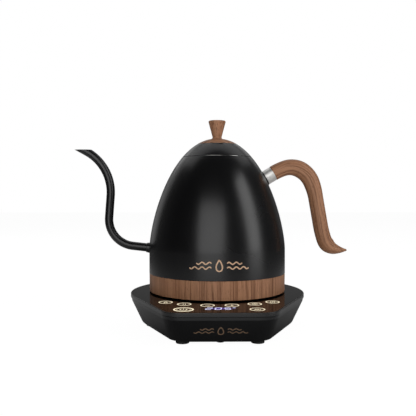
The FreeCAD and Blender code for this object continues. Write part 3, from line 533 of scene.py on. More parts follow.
def wood_group():
    """Walnut: waves, year bands, fibres and pores stretched along the first axis of the grain vector."""
    def build(tree, given):
        grain, darkest = given["Grain"], given["Dark"]
        wave = new_node(tree, "TexNoise", "waviness", {"Vector": mapped(tree, grain, (16, 45, 45), "waves"),
                                                       "Scale": 1.0, "Detail": 1.0})
        sway = new_node(tree, "VectorMath", "sway", {0: wave.outputs["Color"], 1: (0.0, 0.0028, 0.0028),
                                                     2: grain}, operation="MULTIPLY_ADD").outputs[0]
        bands = noise(tree, mapped(tree, sway, (5, 230, 230), "band stretch"), 1.0, 2.0, 0.5, "year bands")
        fibres = noise(tree, mapped(tree, sway, (10, 740, 740), "fibre stretch"), 1.0, 4.0, 0.62, "fibres")
        pores = noise(tree, mapped(tree, sway, (240, 2600, 2600), "pore stretch"), 1.0, 1.0, 0.5, "pores")
        light = spread(tree, bands, 0.42, 0.62, label="light bands")
        dark = spread(tree, fibres, 0.50, 0.38, 0.0, 0.85, "dark fibres")
        deep = spread(tree, bands, 0.40, 0.32, 0.0, 0.55, "dark bands")
        pore = spread(tree, pores, 0.62, 0.74, 0.0, 0.8, "pore marks")
        body = blended(tree, light, given["Middle"], given["Light"], "light wood")
        shaded = blended(tree, maths(tree, "MAXIMUM", dark, deep), body, darkest, "dark wood")
        return (blended(tree, pore, shaded, darkest, "pores"),
                spread(tree, fibres, 0.3, 0.7, 0.62, 0.46, "dry and oiled"),
                maths(tree, "SUBTRACT", fibres, maths(tree, "MULTIPLY", pore, 0.6)))

    return shared_group("walnut grain", [
        ("Grain", "Vector", None), ("Light", "Color", (0.4, 0.2, 0.12, 1)),
        ("Middle", "Color", (0.3, 0.15, 0.09, 1)), ("Dark", "Color", (0.13, 0.06, 0.03, 1))], build)


def brushed_group():
    """Fine scratches along one axis, over stains."""
    def build(tree, given):
        product = new_node(tree, "VectorMath", "stretch", {0: given["Vector"], 1: given["Stretch"]},
                           operation="MULTIPLY").outputs[0]
        lines = noise(tree, product, 1.0, 3.0, 0.6, "brushing")
        stain = spread(tree, noise(tree, given["Vector"], 60.0, 3.0, 0.5, "stain"), 0.4, 0.7, label="stained")
        return (blended(tree, stain, given["Colour"], given["Dull Colour"]),
                spread(tree, lines, 0.3, 0.7, given["Smooth"], given["Rough"]), lines)

    return shared_group("brushed metal", [
        ("Vector", "Vector", None), ("Stretch", "Vector", (2400, 2400, 60)),
        ("Colour", "Color", (0.7, 0.7, 0.7, 1)), ("Dull Colour", "Color", (0.5, 0.5, 0.5, 1)),
        ("Smooth", "Float", 0.12), ("Rough", "Float", 0.3)], build)


# ---------------------------------------------------------------- materials
def clear_material(name):
    """New material with an empty node tree."""
    material = bpy.data.materials.new(name)
    material.use_nodes = True
    material.node_tree.nodes.clear()
    return material


def material_with(name, group, values, bump, constants):
    """Material whose group feeds the Principled shader; constants are set on the shader's own sockets.

    Wood follows the mesh's grain, and any other finish the place on the object.
    """
    if name in bpy.data.materials:
        return bpy.data.materials[name]
    material = bpy.data.materials.new(name)
    material.use_nodes = True
    tree = material.node_tree
    if "Grain" in group.interface.items_tree:
        source = new_node(tree, "Attribute", "grain", attribute_name="grain")
        place = {"Grain": source.outputs["Vector"]}
    else:
        place = {"Vector": new_node(tree, "TexCoord", "place on the object").outputs["Object"]}
    effect = new_node(tree, "Group", group.name, {**place, **values}, node_tree=group)
    strength, depth = bump
    relief = new_node(tree, "Bump", "relief", {"Strength": strength, "Distance": depth,
                                               "Height": effect.outputs["Height"]})
    fill(tree, tree.nodes["Principled BSDF"], {
        "Normal": relief.outputs["Normal"], "Base Color": effect.outputs["Colour"],
        "Roughness": effect.outputs["Roughness"], **constants})
    return material


def rgba(value, times=1.0):
    """Colour scaled, with an alpha of one."""
    return (*[channel * times for channel in value], 1.0)


def skin(name, base, smooth, rough, grit=1500.0, cloud=20.0, worn=1.5, bump=(0.15, 0.00005), shine=None):
    """Moulded, coated or rubber finish."""
    values = {"Colour": rgba(base), "Worn Colour": rgba(base, worn), "Smooth": smooth, "Rough": rough,
              "Grit Scale": grit, "Cloud Scale": cloud}
    constants = {} if shine is None else {"Specular IOR Level": shine}
    return material_with(name, skin_group(), values, bump, constants)


def metal(name, base, smooth, rough, stretch=(2400, 2400, 60), dull=0.85):
    """Bare metal finish."""
    values = {"Colour": rgba(base), "Dull Colour": rgba(base, dull), "Smooth": smooth, "Rough": rough,
              "Stretch": stretch}
    return material_with(name, brushed_group(), values, (0.06, 0.00002), {"Metallic": 1.0})


def walnut():
    """Oiled walnut of the band, grip, cap and knob."""
    colours = bpy.context.scene.kettle_finishes
    values = {"Light": rgba(colours.wood_light), "Middle": rgba(colours.wood_middle),
              "Dark": rgba(colours.wood_dark)}
    return material_with("oiled_walnut", wood_group(), values, (0.35, 0.00012), {"Specular IOR Level": 0.35})


def coat():
    """Powder coat of the body, spout, boss and lid."""
    base = bpy.context.scene.kettle_finishes.coat
    return skin("powder_coat", base, 0.25, 0.30, 2600.0, 9.0, 1.5, (0.10, 0.00004))


def housing():
    """Moulded black of the base."""
    base = bpy.context.scene.kettle_finishes.housing
    return skin("moulded_housing", base, 0.32, 0.40, 1900.0, 14.0, 1.5, (0.22, 0.00006))


def panel_gloss(name):
    """Polished face of the touch panel."""
    base = bpy.context.scene.kettle_finishes.panel
    return skin(name, base, 0.045, 0.085, 700.0, 16.0, 1.3, (0.0, 0.00001), shine=0.12)


def printed(name, base, roughness, strength=0.0):
    """Painted print, lit where it has a strength: its brightness drifts a little over the surface."""
    material = skin(name, base, roughness, roughness + 0.1, 900.0, 45.0, 0.8, (0.05, 0.00002))
    if strength > 0:
        tree = material.node_tree
        effect = next(node for node in tree.nodes if node.type == "GROUP")
        fill(tree, tree.nodes["Principled BSDF"], {"Emission Color": effect.outputs["Colour"],
                                                   "Emission Strength": strength})
    return material


# ---------------------------------------------------------------- the stage
# name, azimuth from -Y towards +X, elevation, distance, width, height, radiance
SOFT_BOXES = (
    ("front_box", -11.0, 17.0, 1.3, 1.02, 0.90, 1.9),
    ("right_box", 62.0, 24.0, 1.3, 0.52, 1.20, 2.8),
    ("top_box", 180.0, 68.0, 1.2, 2.20, 0.80, 0.70),
    ("left_box", -140.0, 20.0, 1.4, 0.60, 1.20, 0.35),
    ("back_box", 180.0, 30.0, 1.8, 2.20, 0.60, 0.6),
)
LIGHT_TARGET = Vector((0, 0, 0.1))

# the floor in reflections: where it begins and ends, in metres, to each side, in front and far away
FLOOR_SIDE, FLOOR_FRONT, FLOOR_FAR = (0.06, 0.20), (0.14, 0.21), (0.60, 0.27)
FLOOR_SIDE_SHARE, FLOOR_LOW, FLOOR_HIGH = 0.72, 0.05, 0.72
# azimuth, half width and strength of its patches under the soft boxes, and where they begin
FLOOR_PATCHES = ((-11.0, 21.0, 1.5), (62.0, 12.0, 2.2))
PATCH_START = (0.38, 0.75)
# what the camera sees of it: its own glow, and a grey that takes a faint shadow
FLOOR_GLOW, FLOOR_GREY = 0.975, 0.08
# the room in reflections, from the front to the back
ROOM_RANGE, ROOM_FRONT, ROOM_BACK = (-0.1, 0.9), 0.010, 0.13


class KETTLE_OT_studio(bpy.types.Operator):
    """Pale floor, white backdrop, soft boxes and the camera"""
    bl_idname = "kettle.studio"
    bl_label = "Studio"

    def execute(self, context):
        sizes = context.scene.kettle_studio
        camera_data = bpy.data.cameras.new("camera")
        camera_data.lens = sizes.lens
        camera_data.sensor_width = 36.0
        camera_data.clip_start = 0.01
        camera = linked("camera", camera_data)
        camera.location = (sizes.camera_x, sizes.camera_y, sizes.camera_z)
        camera.rotation_euler = (pi / 2 - sizes.pitch, 0, -sizes.yaw)
        context.scene.camera = camera
        context.scene.view_settings.view_transform = "Standard"
        half, drop = sizes.floor_size / 2, 0.1 * MM
        corners = [(-half, -half, -drop), (half, -half, -drop), (half, half, -drop), (-half, half, -drop)]
        mesh = bpy.data.meshes.new("floor")
        mesh.from_pydata(corners, [], [(0, 1, 2, 3)])
        mesh.materials.append(floor_material())
        floor = linked("floor", mesh)
        white_world(context.scene)
        for row in SOFT_BOXES:
            soft_box(*row)
        return {"FINISHED"}


def soft_box(name, azimuth, elevation, away, width, height, radiance):
    """Area light that faces the kettle; its power is radiance * pi * area."""
    light = bpy.data.lights.new(name, "AREA")
    light.shape, light.size, light.size_y = "RECTANGLE", width, height
    light.energy = radiance * pi * width * height
    box = linked(name, light)
    a, e = radians(azimuth), radians(elevation)
    place = Vector((sin(a) * cos(e), -cos(a) * cos(e), sin(e)))
    box.location = LIGHT_TARGET + place * away
    box.rotation_euler = place.to_track_quat("Z", "Y").to_euler()
    box.visible_camera = False


def floor_material():
    """White to the camera with a faint shadow; in the object's reflections dark near the base's front.

    Glow in reflections = low + high * max(side share of |x|, front share of -y) * (share left at a
    distance), and a far patch under the front and right soft boxes, by the angle round the kettle.
    From below the floor is clear, so that the underside can be looked at.
    """
    material = clear_material("pale_floor")
    tree = material.node_tree
    where = new_node(tree, "NewGeometry").outputs
    axes = new_node(tree, "SeparateXYZ", "", {0: where["Position"]}).outputs
    front, away = maths(tree, "MULTIPLY", axes["Y"], -1.0), distance(tree, where["Position"])
    side = spread(tree, maths(tree, "ABSOLUTE", axes["X"]), *FLOOR_SIDE, 0.0, FLOOR_SIDE_SHARE, "side")
    ahead = spread(tree, front, *FLOOR_FRONT, label="ahead")
    left = spread(tree, away, *FLOOR_FAR, label="left at a distance")
    share = maths(tree, "MULTIPLY", maths(tree, "MAXIMUM", side, ahead, "off the front wall"), left)
    total = spread(tree, share, 0.0, 1.0, FLOOR_LOW, FLOOR_HIGH, "seen in reflections")
    turn = maths(tree, "ARCTAN2", axes["X"], front, "azimuth")
    far = spread(tree, away, *PATCH_START, label="far off")
    for azimuth, half, strength in FLOOR_PATCHES:
        off = maths(tree, "ABSOLUTE", maths(tree, "SUBTRACT", turn, radians(azimuth)))
        patch = spread(tree, off, radians(half * 1.25), radians(half * 0.75), 0.0, strength, "patch")
        total = maths(tree, "MAXIMUM", total, maths(tree, "MULTIPLY", patch, far))
    dim = new_node(tree, "Emission", "in reflections", {"Strength": total})
    lit = new_node(tree, "BsdfDiffuse", "faint shadow", {"Color": rgba((1, 1, 1), FLOOR_GREY)})
    glow = new_node(tree, "Emission", "to the camera", {"Color": rgba((1, 1, 1)), "Strength": FLOOR_GLOW})
    seen = new_node(tree, "AddShader", "", {0: lit.outputs[0], 1: glow.outputs[0]})
    camera = new_node(tree, "LightPath").outputs["Is Camera Ray"]
    above = new_node(tree, "MixShader", "above", {0: camera, 1: dim.outputs[0], 2: seen.outputs[0]})
    clear = new_node(tree, "BsdfTransparent", "clear")
    face = new_node(tree, "MixShader", "above or below", {0: where["Backfacing"], 1: above.outputs[0],
                                                          2: clear.outputs[0]})
    new_node(tree, "OutputMaterial", "", {"Surface": face.outputs[0]})
    return material


def white_world(scene):
    """White backdrop for the camera; in reflections a dim room, darker in front and lighter behind."""
    world = bpy.data.worlds.new("room")
    scene.world = world
    world.use_nodes = True
    tree = world.node_tree
    tree.nodes.clear()
    where = new_node(tree, "TexCoord").outputs["Generated"]
    axes = new_node(tree, "SeparateXYZ", "", {0: where}).outputs
    dim = spread(tree, axes["Y"], *ROOM_RANGE, ROOM_FRONT, ROOM_BACK, "front to back")
    camera = new_node(tree, "LightPath").outputs["Is Camera Ray"]
    strength = new_node(tree, "Mix", "camera or room", {0: camera, 2: dim, 3: 1.0}).outputs[0]
    back = new_node(tree, "Background", "", {"Color": rgba((1, 1, 1)), "Strength": strength})
    new_node(tree, "OutputWorld", "", {"Surface": back.outputs[0]})


class KETTLE_OT_body(bpy.types.Operator):
    """Coated steel body and the pressed ring of its mouth"""
    bl_idname = "kettle.body"
    bl_label = "Body"

    def execute(self, context):
        sizes = context.scene.kettle_body
        wall, seam = sizes.wall, SHELL_HIGH.z
        skirt = sizes.band_inner - 0.2 * MM
        band_top, edge = BAND_HIGH.z, 0.25 * MM
        profile = rounded(np.vstack([
            [(skirt - wall, SHELL_LOW.z, edge), (skirt, SHELL_LOW.z, edge), (skirt, band_top, 0.0),
             (sizes.radius, band_top, 0.35 * MM)],
            plain(dome_rows(sizes.straight_top, seam - 0.6 * MM, 0.0, 110)),
            [(float(dome_radius(seam)), seam, 0.04 * MM)],
            [(inner_radius(seam, wall), seam, 0.12 * MM)],
            plain(dome_rows(sizes.straight_top, seam - 0.6 * MM, wall, 60)[::-1]),
            [(sizes.radius - wall, band_top + wall, 1.0 * MM), (skirt - wall, band_top + wall, 0.5 * MM)],
        ]))
        coated("kettle_body_skin", turned(profile, 288), "kettle", "kettle_shell")
        ring_low, ring_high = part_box("mouth_ring")
        inner = dome_rows(ring_high.z - wall, ring_high.z, wall, 2)[:, 0]
        ring = rounded([
            (sizes.mouth_radius, ring_low.z, 0.2 * MM), (sizes.mouth_radius + wall, ring_low.z, 0.2 * MM),
            (sizes.mouth_radius + wall, ring_high.z - wall, 0.3 * MM), (inner[0], ring_high.z - wall, 0.0),
            (inner[1], ring_high.z, 0.0), (sizes.mouth_radius, ring_high.z, 0.5 * MM)])
        coated("mouth_ring_skin", turned(ring, 192), "kettle", "mouth_ring")
        return {"FINISHED"}


class KETTLE_OT_band(bpy.types.Operator):
    """Walnut ring round the foot of the body"""
    bl_idname = "kettle.band"
    bl_label = "Wood band"

    def execute(self, context):
        sizes = context.scene.kettle_body
        low, high, step = BAND_LOW.z, BAND_HIGH.z, SHELL_LOW.z
        top, foot = BAND_HIGH.y, BAND_HIGH.y - 0.2 * MM
        inner, rebate = sizes.band_inner, sizes.band_inner + 1.2 * MM
        profile = rounded([
            (rebate, low, 0.3 * MM), (foot, low, 0.6 * MM), (top, high, 0.2 * MM), (inner, high, 0.2 * MM),
            (inner, step, 0.1 * MM), (rebate, step, 0.1 * MM)])
        surface = turned(profile, 288)
        wooden("foot_band_wood", surface, "kettle", "wood_band", upright_grain(surface))
        return {"FINISHED"}


class KETTLE_OT_spout(bpy.types.Operator):
    """Gooseneck tube with a level lip, and the collar at its root"""
    bl_idname = "kettle.spout"
    bl_label = "Spout"

    def execute(self, context):
        sizes = context.scene.kettle_spout
        root = (-float(dome_radius(sizes.root_height)), sizes.root_height)
        heading = pi - sizes.start_rise
        sunk = 0.6 * MM
        overrun = 2.5 * sizes.radius / tan(sizes.mouth_angle)
        stretches = [(0, sunk + sizes.first_run), (sizes.low_bend, -(pi / 2 - sizes.start_rise + sizes.lean)),
                     (0, sizes.riser), (sizes.high_bend, pi / 2 - sizes.mouth_angle + sizes.lean),
                     (0, sizes.lip_run + overrun)]
        start = (root[0] - sunk * cos(heading), root[1] - sunk * sin(heading))
        lip_at = path_length(stretches) - overrun
        lip = path_point(np.array([lip_at]), start, heading, stretches)[1][0]
        turn = np.linspace(0, 2 * pi, 48, endpoint=False)

        def skin_rows(radius, rows):
            """Section circles carried along the path; every column ends where it meets the lip's height."""
            def place(s):
                x, z, h = path_point(s, start, heading, stretches)
                up = radius * np.cos(turn)
                return x - np.sin(h) * up, z + np.cos(h) * up
            dense = np.linspace(lip_at - 30 * MM, path_length(stretches), 900)[:, None] * np.ones_like(turn)
            heights = place(dense)[1]
            past = np.argmax(heights > lip, axis=0)
            column = np.arange(len(turn))
            low, high = heights[past - 1, column], heights[past, column]
            ends = dense[past - 1, column] + (lip - low) / (high - low) * (dense[1, 0] - dense[0, 0])
            x, z = place(np.linspace(0, 1, rows)[:, None] * ends)
            return np.stack([x, np.broadcast_to(radius * np.sin(turn), x.shape), z], axis=-1)

        inside = skin_rows(sizes.radius - sizes.wall, 110)[::-1]
        points = np.concatenate([skin_rows(sizes.radius, 190), inside])
        coated("gooseneck", grid_surface(points, closed_rows=True), "kettle", "spout_tube")
        outer, bore = sizes.radius + sizes.collar_wall, sizes.radius - 0.1 * MM
        sunk, long, flare = -0.7 * MM, sizes.collar_length, 0.5 * MM
        profile = rounded([
            (bore, sunk, 0.0), (outer + flare, sunk, 0.0), (outer + flare / 2, -sunk, 0.5 * MM),
            (outer, long, 0.35 * MM), (bore, long, 0.05 * MM)])
        collar = turned(profile, 72, (root[0], 0, root[1]), (cos(heading), 0, sin(heading)))
        coated("gooseneck_collar", collar, "kettle", "spout_collar")
        return {"FINISHED"}


# radius (0 = straight), turn in degrees or length in mm, thickness and width at the end in mm
GRIP_STRETCHES = (
    (60.0, -13.0, 16.6, 16.8),
    (22.0, -48.0, 18.5, 17.8),
    (27.0, -37.0, 17.8, 18.0),
    (73.0, -13.0, 16.0, 18.0),
    (0.0, 31.0, 16.0, 18.0),
    (115.0, 8.0, 16.2, 18.0),
    (17.0, 28.0, 16.8, 17.6),
    (17.0, 30.0, 11.5, 15.0),
    (40.0, 14.0, 4.0, 8.0),
    (0.0, 2.2, 1.8, 4.5),
)
GRIP_START = 16.2 * MM    # thickness and width at the ferrule
GRIP_SMOOTH = 9.0 * MM    # length over which they are smoothed
TIP_REACH = 1.0 * MM    # length of the round tip

# places in the walnut pattern, apart so that no two pieces share their streaks
GRIP_GRAIN, CAP_GRAIN, KNOB_GRAIN = (0.31, 0.07, 0.12), (0.9, 0.4, 0.0), 0.55


class KETTLE_OT_handle(bpy.types.Operator):
    """Black boss, polished ferrule and the curved walnut grip"""
    bl_idname = "kettle.handle"
    bl_label = "Handle"

    def execute(self, context):
        body, sizes = context.scene.kettle_body, context.scene.kettle_handle
        root_z = body.straight_top + sizes.root_share * body.dome_rise
        root = np.array([float(dome_radius(root_z)), 0, root_z])
        axis = np.array([cos(sizes.angle), 0, sin(sizes.angle)])
        bore, sunk = sizes.stud_radius, -0.9 * MM
        show, end = sizes.boss_show, sizes.boss_show + sizes.ferrule_length
        boss = rounded([(bore, sunk, 0.0), (sizes.boss_radius, sunk, 0.0),
                        (sizes.boss_radius, show, 0.3 * MM), (bore, show, 0.0)])
        coated("handle_boss_skin", turned(boss, 96, root, axis), "kettle", "handle_boss")
        ferrule = rounded([(bore, show, 0.0), (sizes.ferrule_radius, show, 0.45 * MM),
                           (sizes.ferrule_radius, end, 0.45 * MM), (bore, end, 0.0)])
        colours = context.scene.kettle_finishes
        polished = metal("polished_ferrule", rgba(colours.steel, colours.ferrule_gain)[:3], 0.42, 0.55,
                         (900, 900, 900))
        make_piece("ferrule_sleeve", turned(ferrule, 128, root, axis), polished, "kettle",
                   ["handle_ferrule"])
        surface, grain = grip_surface(root + axis * end, sizes.angle)
        wooden("grip_wood", surface, "kettle", "handle_grip", grain, 60.0)
        return {"FINISHED"}


def grip_surface(start, heading):
    """Ovals carried along the stretches: place + normal * thickness/2 * cos a + Y * width/2 * sin a.

    Thickness and width run between the stretches' ends and are smoothed; the tip is a quarter round whose
    ovals shrink by cos b while they move on by sin b.
    """
    radius, amount, thick, wide = np.array(GRIP_STRETCHES).T
    long = np.where(radius == 0, amount, np.abs(np.radians(amount)) * radius) * MM
    stretches = [(r * MM, a * MM if r == 0 else radians(a)) for r, a in zip(radius, amount)]
    ends = np.concatenate([[0], np.cumsum(long)])
    fine = np.linspace(-10 * MM, ends[-1] + 10 * MM, 2001)
    window = np.hanning(int(GRIP_SMOOTH / (fine[1] - fine[0])))
    window /= window.sum()
    s = np.linspace(0, ends[-1], 260)
    x, z, h = path_point(s, (start[0], start[2]), heading, stretches)
    tip = np.linspace(0, pi / 2, 9)[1:-1]
    x = np.concatenate([x, x[-1] + np.cos(h[-1]) * TIP_REACH * np.sin(tip)])
    z = np.concatenate([z, z[-1] + np.sin(h[-1]) * TIP_REACH * np.sin(tip)])
    h = np.concatenate([h, np.full(len(tip), h[-1])])
    along = np.concatenate([s, s[-1] + TIP_REACH * np.sin(tip)])

    def half_size(values):
        """Half of a size along the grip and its tip."""
        sized = np.interp(fine, ends, np.concatenate([[GRIP_START], values * MM]))
        half = np.interp(s, fine, np.convolve(sized, window, "same")) / 2
        return np.concatenate([half, half[-1] * np.cos(tip)])

    edge, narrower = 0.5 * MM, 0.03
    soft = 1 - narrower * (1 - np.clip(along / edge, 0, 1)) ** 2
    turn = np.linspace(0, 2 * pi, 80, endpoint=False)
    across = (half_size(thick) * soft)[:, None] * np.cos(turn)
    side = (half_size(wide) * soft)[:, None] * np.sin(turn)
    points = np.stack([x[:, None] - np.sin(h)[:, None] * across, side,
                       z[:, None] + np.cos(h)[:, None] * across], axis=-1)
    end = 0.05 * MM
    last = (x[-1] + np.cos(h[-1]) * end, 0, z[-1] + np.sin(h[-1]) * end)
    surface = grid_surface(points, False, (start[0], 0, start[2]), last)
    grain = np.stack([np.broadcast_to(along[:, None], across.shape), across, side], axis=-1).reshape(-1, 3)
    return surface, np.vstack([grain, (0, 0, 0), (along[-1], 0, 0)]) + GRIP_GRAIN


class KETTLE_OT_lid(bpy.types.Operator):
    """Coated dome with its steam slot, the walnut cap and the knob"""
    bl_idname = "kettle.lid"
    bl_label = "Lid"

    def execute(self, context):
        body, sizes = context.scene.kettle_body, context.scene.kettle_lid
        wall, seam = body.wall, SHELL_HIGH.z + sizes.seam_gap
        cap_edge = float(dome_height(sizes.cap_radius))
        cap_floor = cap_edge - sizes.cap_sink
        seat, hole, step = sizes.cap_radius - 0.2 * MM, 2.0 * MM, 0.12 * MM
        slot_in = sizes.cap_radius + 0.45 * MM
        slot_out = slot_in + sizes.vent_reach
        slot_low, slot_high = float(dome_height(slot_out)), float(dome_height(slot_in))
        rows = np.vstack([
            dome_rows(seam + 0.5 * MM, slot_low - step, 0.0, 34), dome_rows(slot_low, slot_high, 0.0, 8),
            dome_rows(slot_high + step, cap_edge - 0.15 * MM, 0.0, 3)])
        under = dome_rows(seam + 0.3 * MM, cap_floor - wall, wall, 30)[::-1]
        rim = inner_radius(seam, wall)
        profile = rounded(np.vstack([
            [(rim, seam, 0.15 * MM), (float(dome_radius(seam)), seam, 0.05 * MM)], plain(rows),
            [(seat, cap_edge, 0.1 * MM), (seat, cap_floor, 0.1 * MM), (hole, cap_floor, 0.0),
             (hole, cap_floor - wall, 0.0)], plain(under)]))
        vertices, quads, fans = turned(profile, 432)
        x, y, z = vertices.T
        slack = 0.05 * MM
        outside = (z > slot_low - slack) & (z < slot_high + slack)
        outside &= np.hypot(x, y) > dome_radius(z) - 0.3 * MM
        slot = outside & (np.abs(x) < sizes.vent_width / 2) & (y < 0)
        vertices = vertices.copy()
        vertices[slot, 2] -= sizes.vent_dent
        coated("lid_dome_skin", (vertices, quads, fans), "lid", "lid_dome")
        foot = KNOB_LOW.z
        cap_rows = dome_rows(float(dome_height(seat - 0.3 * MM)) + 0.2 * MM,
                             float(dome_height(sizes.neck_radius)), 0.0, 40)
        cap = rounded(np.vstack([
            [(0, cap_floor, 0.0), (seat - 0.3 * MM, cap_floor, 0.1 * MM)], plain(cap_rows),
            [(0, cap_rows[-1, 1], 0.0)]]))
        surface = turned(cap, 224)
        wooden("lid_cap_wood", surface, "lid", "lid_cap", surface[0] * (1.0, 1.0, 0.5) + CAP_GRAIN)
        top, neck = KNOB_HIGH.z, sizes.neck_radius
        crown, wide = float(dome_height(neck)) + sizes.neck_height, sizes.knob_radius
        knob = rounded([
            (0, foot, 0.0), (neck + 0.9 * MM, foot, 0.0), (neck + 0.9 * MM, foot + 0.9 * MM, 0.3 * MM),
            (neck, foot + 2.2 * MM, 0.6 * MM), (neck, crown, 0.8 * MM), (wide, top - 1.6 * MM, 0.5 * MM),
            (wide - 0.3 * MM, top - 0.45 * MM, 0.4 * MM), (0, top, 0.0)], 8)
        surface = turned(knob, 160)
        wooden("lid_knob_wood", surface, "lid", "lid_knob", upright_grain(surface, KNOB_GRAIN))
        return {"FINISHED"}


def base_outline(rows):
    """Closed outline for rows of (side inset, front inset, height, corner radius).

    A back arc, then tangent lines that run in by the taper, round corners and a straight front edge.  The
    inset is given for both, so that a row's distance to the next, which rounded() measures, counts both.
    """
    sizes = bpy.context.scene.kettle_base
    side, front, z, corner = (rows[:, k, None] for k in range(4))
    taper = sizes.taper
    radius = sizes.radius - side
    tangent_x, tangent_y = radius * cos(taper), sizes.centre_y - radius * sin(taper)
    front_y = front - sizes.front_reach
    corner_x = tangent_x - (tangent_y - front_y) * tan(taper)
    cut = corner * tan((pi / 2 - taper) / 2)
    side_x, side_y = corner_x + sin(taper) * cut, front_y + cos(taper) * cut
    front_x, centre_y = corner_x - cut, front_y + corner
    back = np.linspace(-taper, pi + taper, 140, endpoint=False)
    bend = np.linspace(0, pi / 2 - taper, 22, endpoint=False)
    share = np.linspace(0, 1, 10, endpoint=False)
    wide = np.linspace(-1, 1, 20, endpoint=False)
    x = [radius * np.cos(back), -(tangent_x + (side_x - tangent_x) * share),
         -(front_x + corner * np.cos(taper + bend)), front_x * wide,
         front_x + corner * np.sin(bend), side_x + (tangent_x - side_x) * share]
    y = [sizes.centre_y + radius * np.sin(back), tangent_y + (side_y - tangent_y) * share,
         centre_y - corner * np.sin(taper + bend), front_y + 0 * wide,
         centre_y - corner * np.cos(bend), side_y + (tangent_y - side_y) * share]
    x, y = np.concatenate(x, axis=1), np.concatenate(y, axis=1)
    return np.stack([x, y, np.broadcast_to(z, x.shape)], axis=-1)


def towards_hole(outline_row, radius, heights):
    """Circles of one radius whose columns point at the outline's own columns."""
    flat = outline_row[:, :2]
    unit = flat / np.linalg.norm(flat, axis=1, keepdims=True)
    circle = np.concatenate([unit * radius, np.zeros((len(unit), 1))], axis=1)
    return np.stack([circle + (0, 0, height) for height in heights])


class KETTLE_OT_base(bpy.types.Operator):
    """Lower and upper housing of the base, and the polished touch panel"""
    bl_idname = "kettle.base"
    bl_label = "Base housing"

    def execute(self, context):
        sizes = context.scene.kettle_base
        merged_copy("lower_housing", "base_bowl", housing(), "base")
        bowl_top, top, seat = BOWL_HIGH.z, DECK_HIGH.z, PANEL_LOW.z
        low, tower, rim = bowl_top + 0.6 * MM, sizes.tower_radius, sizes.rim_width
        groove = sizes.belt_inset + sizes.groove_depth
        edge, flat = rim + 0.15 * MM, rim + 3.15 * MM

        def ring(rows):
            """Outline for rows of (inset, height, reach), with the corners' radius less by the inset."""
            return base_outline(rounded([(inset, inset, z, sizes.corner_radius - inset, reach)
                                         for inset, z, reach in rows]))

        outline = ring([(groove, bowl_top, 0.0), (groove, low, 0.05 * MM), (0, low, 0.2 * MM),
                        (0, top, 0.7 * MM), (rim, top, 0.2 * MM), (rim, seat, 0.1 * MM),
                        (groove + 3 * MM, seat, 0.0)])
        hole = towards_hole(outline[0], tower + 0.1 * MM, (seat, bowl_top))
        make_piece("upper_housing", grid_surface(np.concatenate([outline, hole]), closed_rows=True),
                   housing(), "base", ["base_deck"])
        outline = ring([(flat, seat, 0.0), (edge, seat, 0.1 * MM), (edge, top, 0.35 * MM), (flat, top, 0.0)])
        hole = np.concatenate([towards_hole(outline[0], tower + 1.0 * MM, (top,)),
                               towards_hole(outline[0], tower + 0.3 * MM, (top - 0.05 * MM, seat))])
        make_piece("panel_glass", grid_surface(np.concatenate([outline, hole]), closed_rows=True),
                   panel_gloss("polished_panel"), "base", ["touch_panel"])
        return {"FINISHED"}


def on_panel(centre_x, centre_y):
    """Puts flat drawing coordinates on the touch panel."""
    def place(u, v, w):
        return np.stack([centre_x + u, centre_y + v, PANEL_HIGH.z + w], axis=-1)
    return place


# six keys in pairs on an arc round the kettle, by their angle from the front, and two at the front edge
KEY_ARC, KEY_RADIUS = 88.0 * MM, 6.3 * MM
KEY_ANGLES = (7.5, 22.4, 36.0)
FRONT_KEYS = ((-33.5 * MM, -107.0 * MM, 8.6 * MM), (33.5 * MM, -107.0 * MM, 6.5 * MM))
KEY_ORDER = ("minus", "plus", "hold", "dial", "drop", "steam", "power", "cup")
RING_LINE, POWER_LINE, DRAWN_LINE = 1.15 * MM, 1.7 * MM, 0.75 * MM
POWER_RING, POWER_RING_LINE = 2.3 * MM, 0.40 * MM    # second ring of the power key, in from the first


def drop_path(wide, tall, power, count):
    """Drop with its tip up: x = wide * sin a * sin(a/2)^power, y = tall * cos a."""
    turn = np.linspace(0, 2 * pi, count, endpoint=False)
    return np.stack([wide * np.sin(turn) * np.sin(turn / 2) ** power, tall * np.cos(turn)], axis=1)


def key_drawings():
    """Drawing inside each key in millimetres: its paths, and whether each is closed."""
    drop = drop_path(1.9, 2.4, 0.8, 40) - (0, 0.1)
    sway = np.linspace(-2.2, 2.2, 14)
    steam = [np.stack([x + 0.6 * np.sin(sway * 1.6), sway], axis=1) for x in (-1.8, 0.0, 1.8)]
    return {
        "minus": [(line(-2.2, 0, 2.2, 0), False)],
        "plus": [(line(-2.2, 0, 2.2, 0), False), (line(0, -2.2, 0, 2.2), False)],
        "dial": [(arc(0, 0, 2.4), True), (line(0, 0, 0, 1.6), False), (line(0, 0, 1.1, 0), False)],
        "hold": [(line(-1.0, -2.1, -1.0, 2.1), False), (line(1.0, -2.1, 1.0, 2.1), False)],
        "drop": [(drop, True)],
        "steam": [(path, False) for path in steam],
        "power": [(arc(0, -0.2, 3.2, -235, 55, 36), False), (line(0, 0.2, 0, 4.0), False)],
        "cup": [(arc(-0.4, 0.8, 2.1, 180, 360, 20), False), (line(-2.7, 1.0, 1.9, 1.0), False),
                (arc(2.2, 0.1, 0.9, -80, 80, 12), False)],
    }


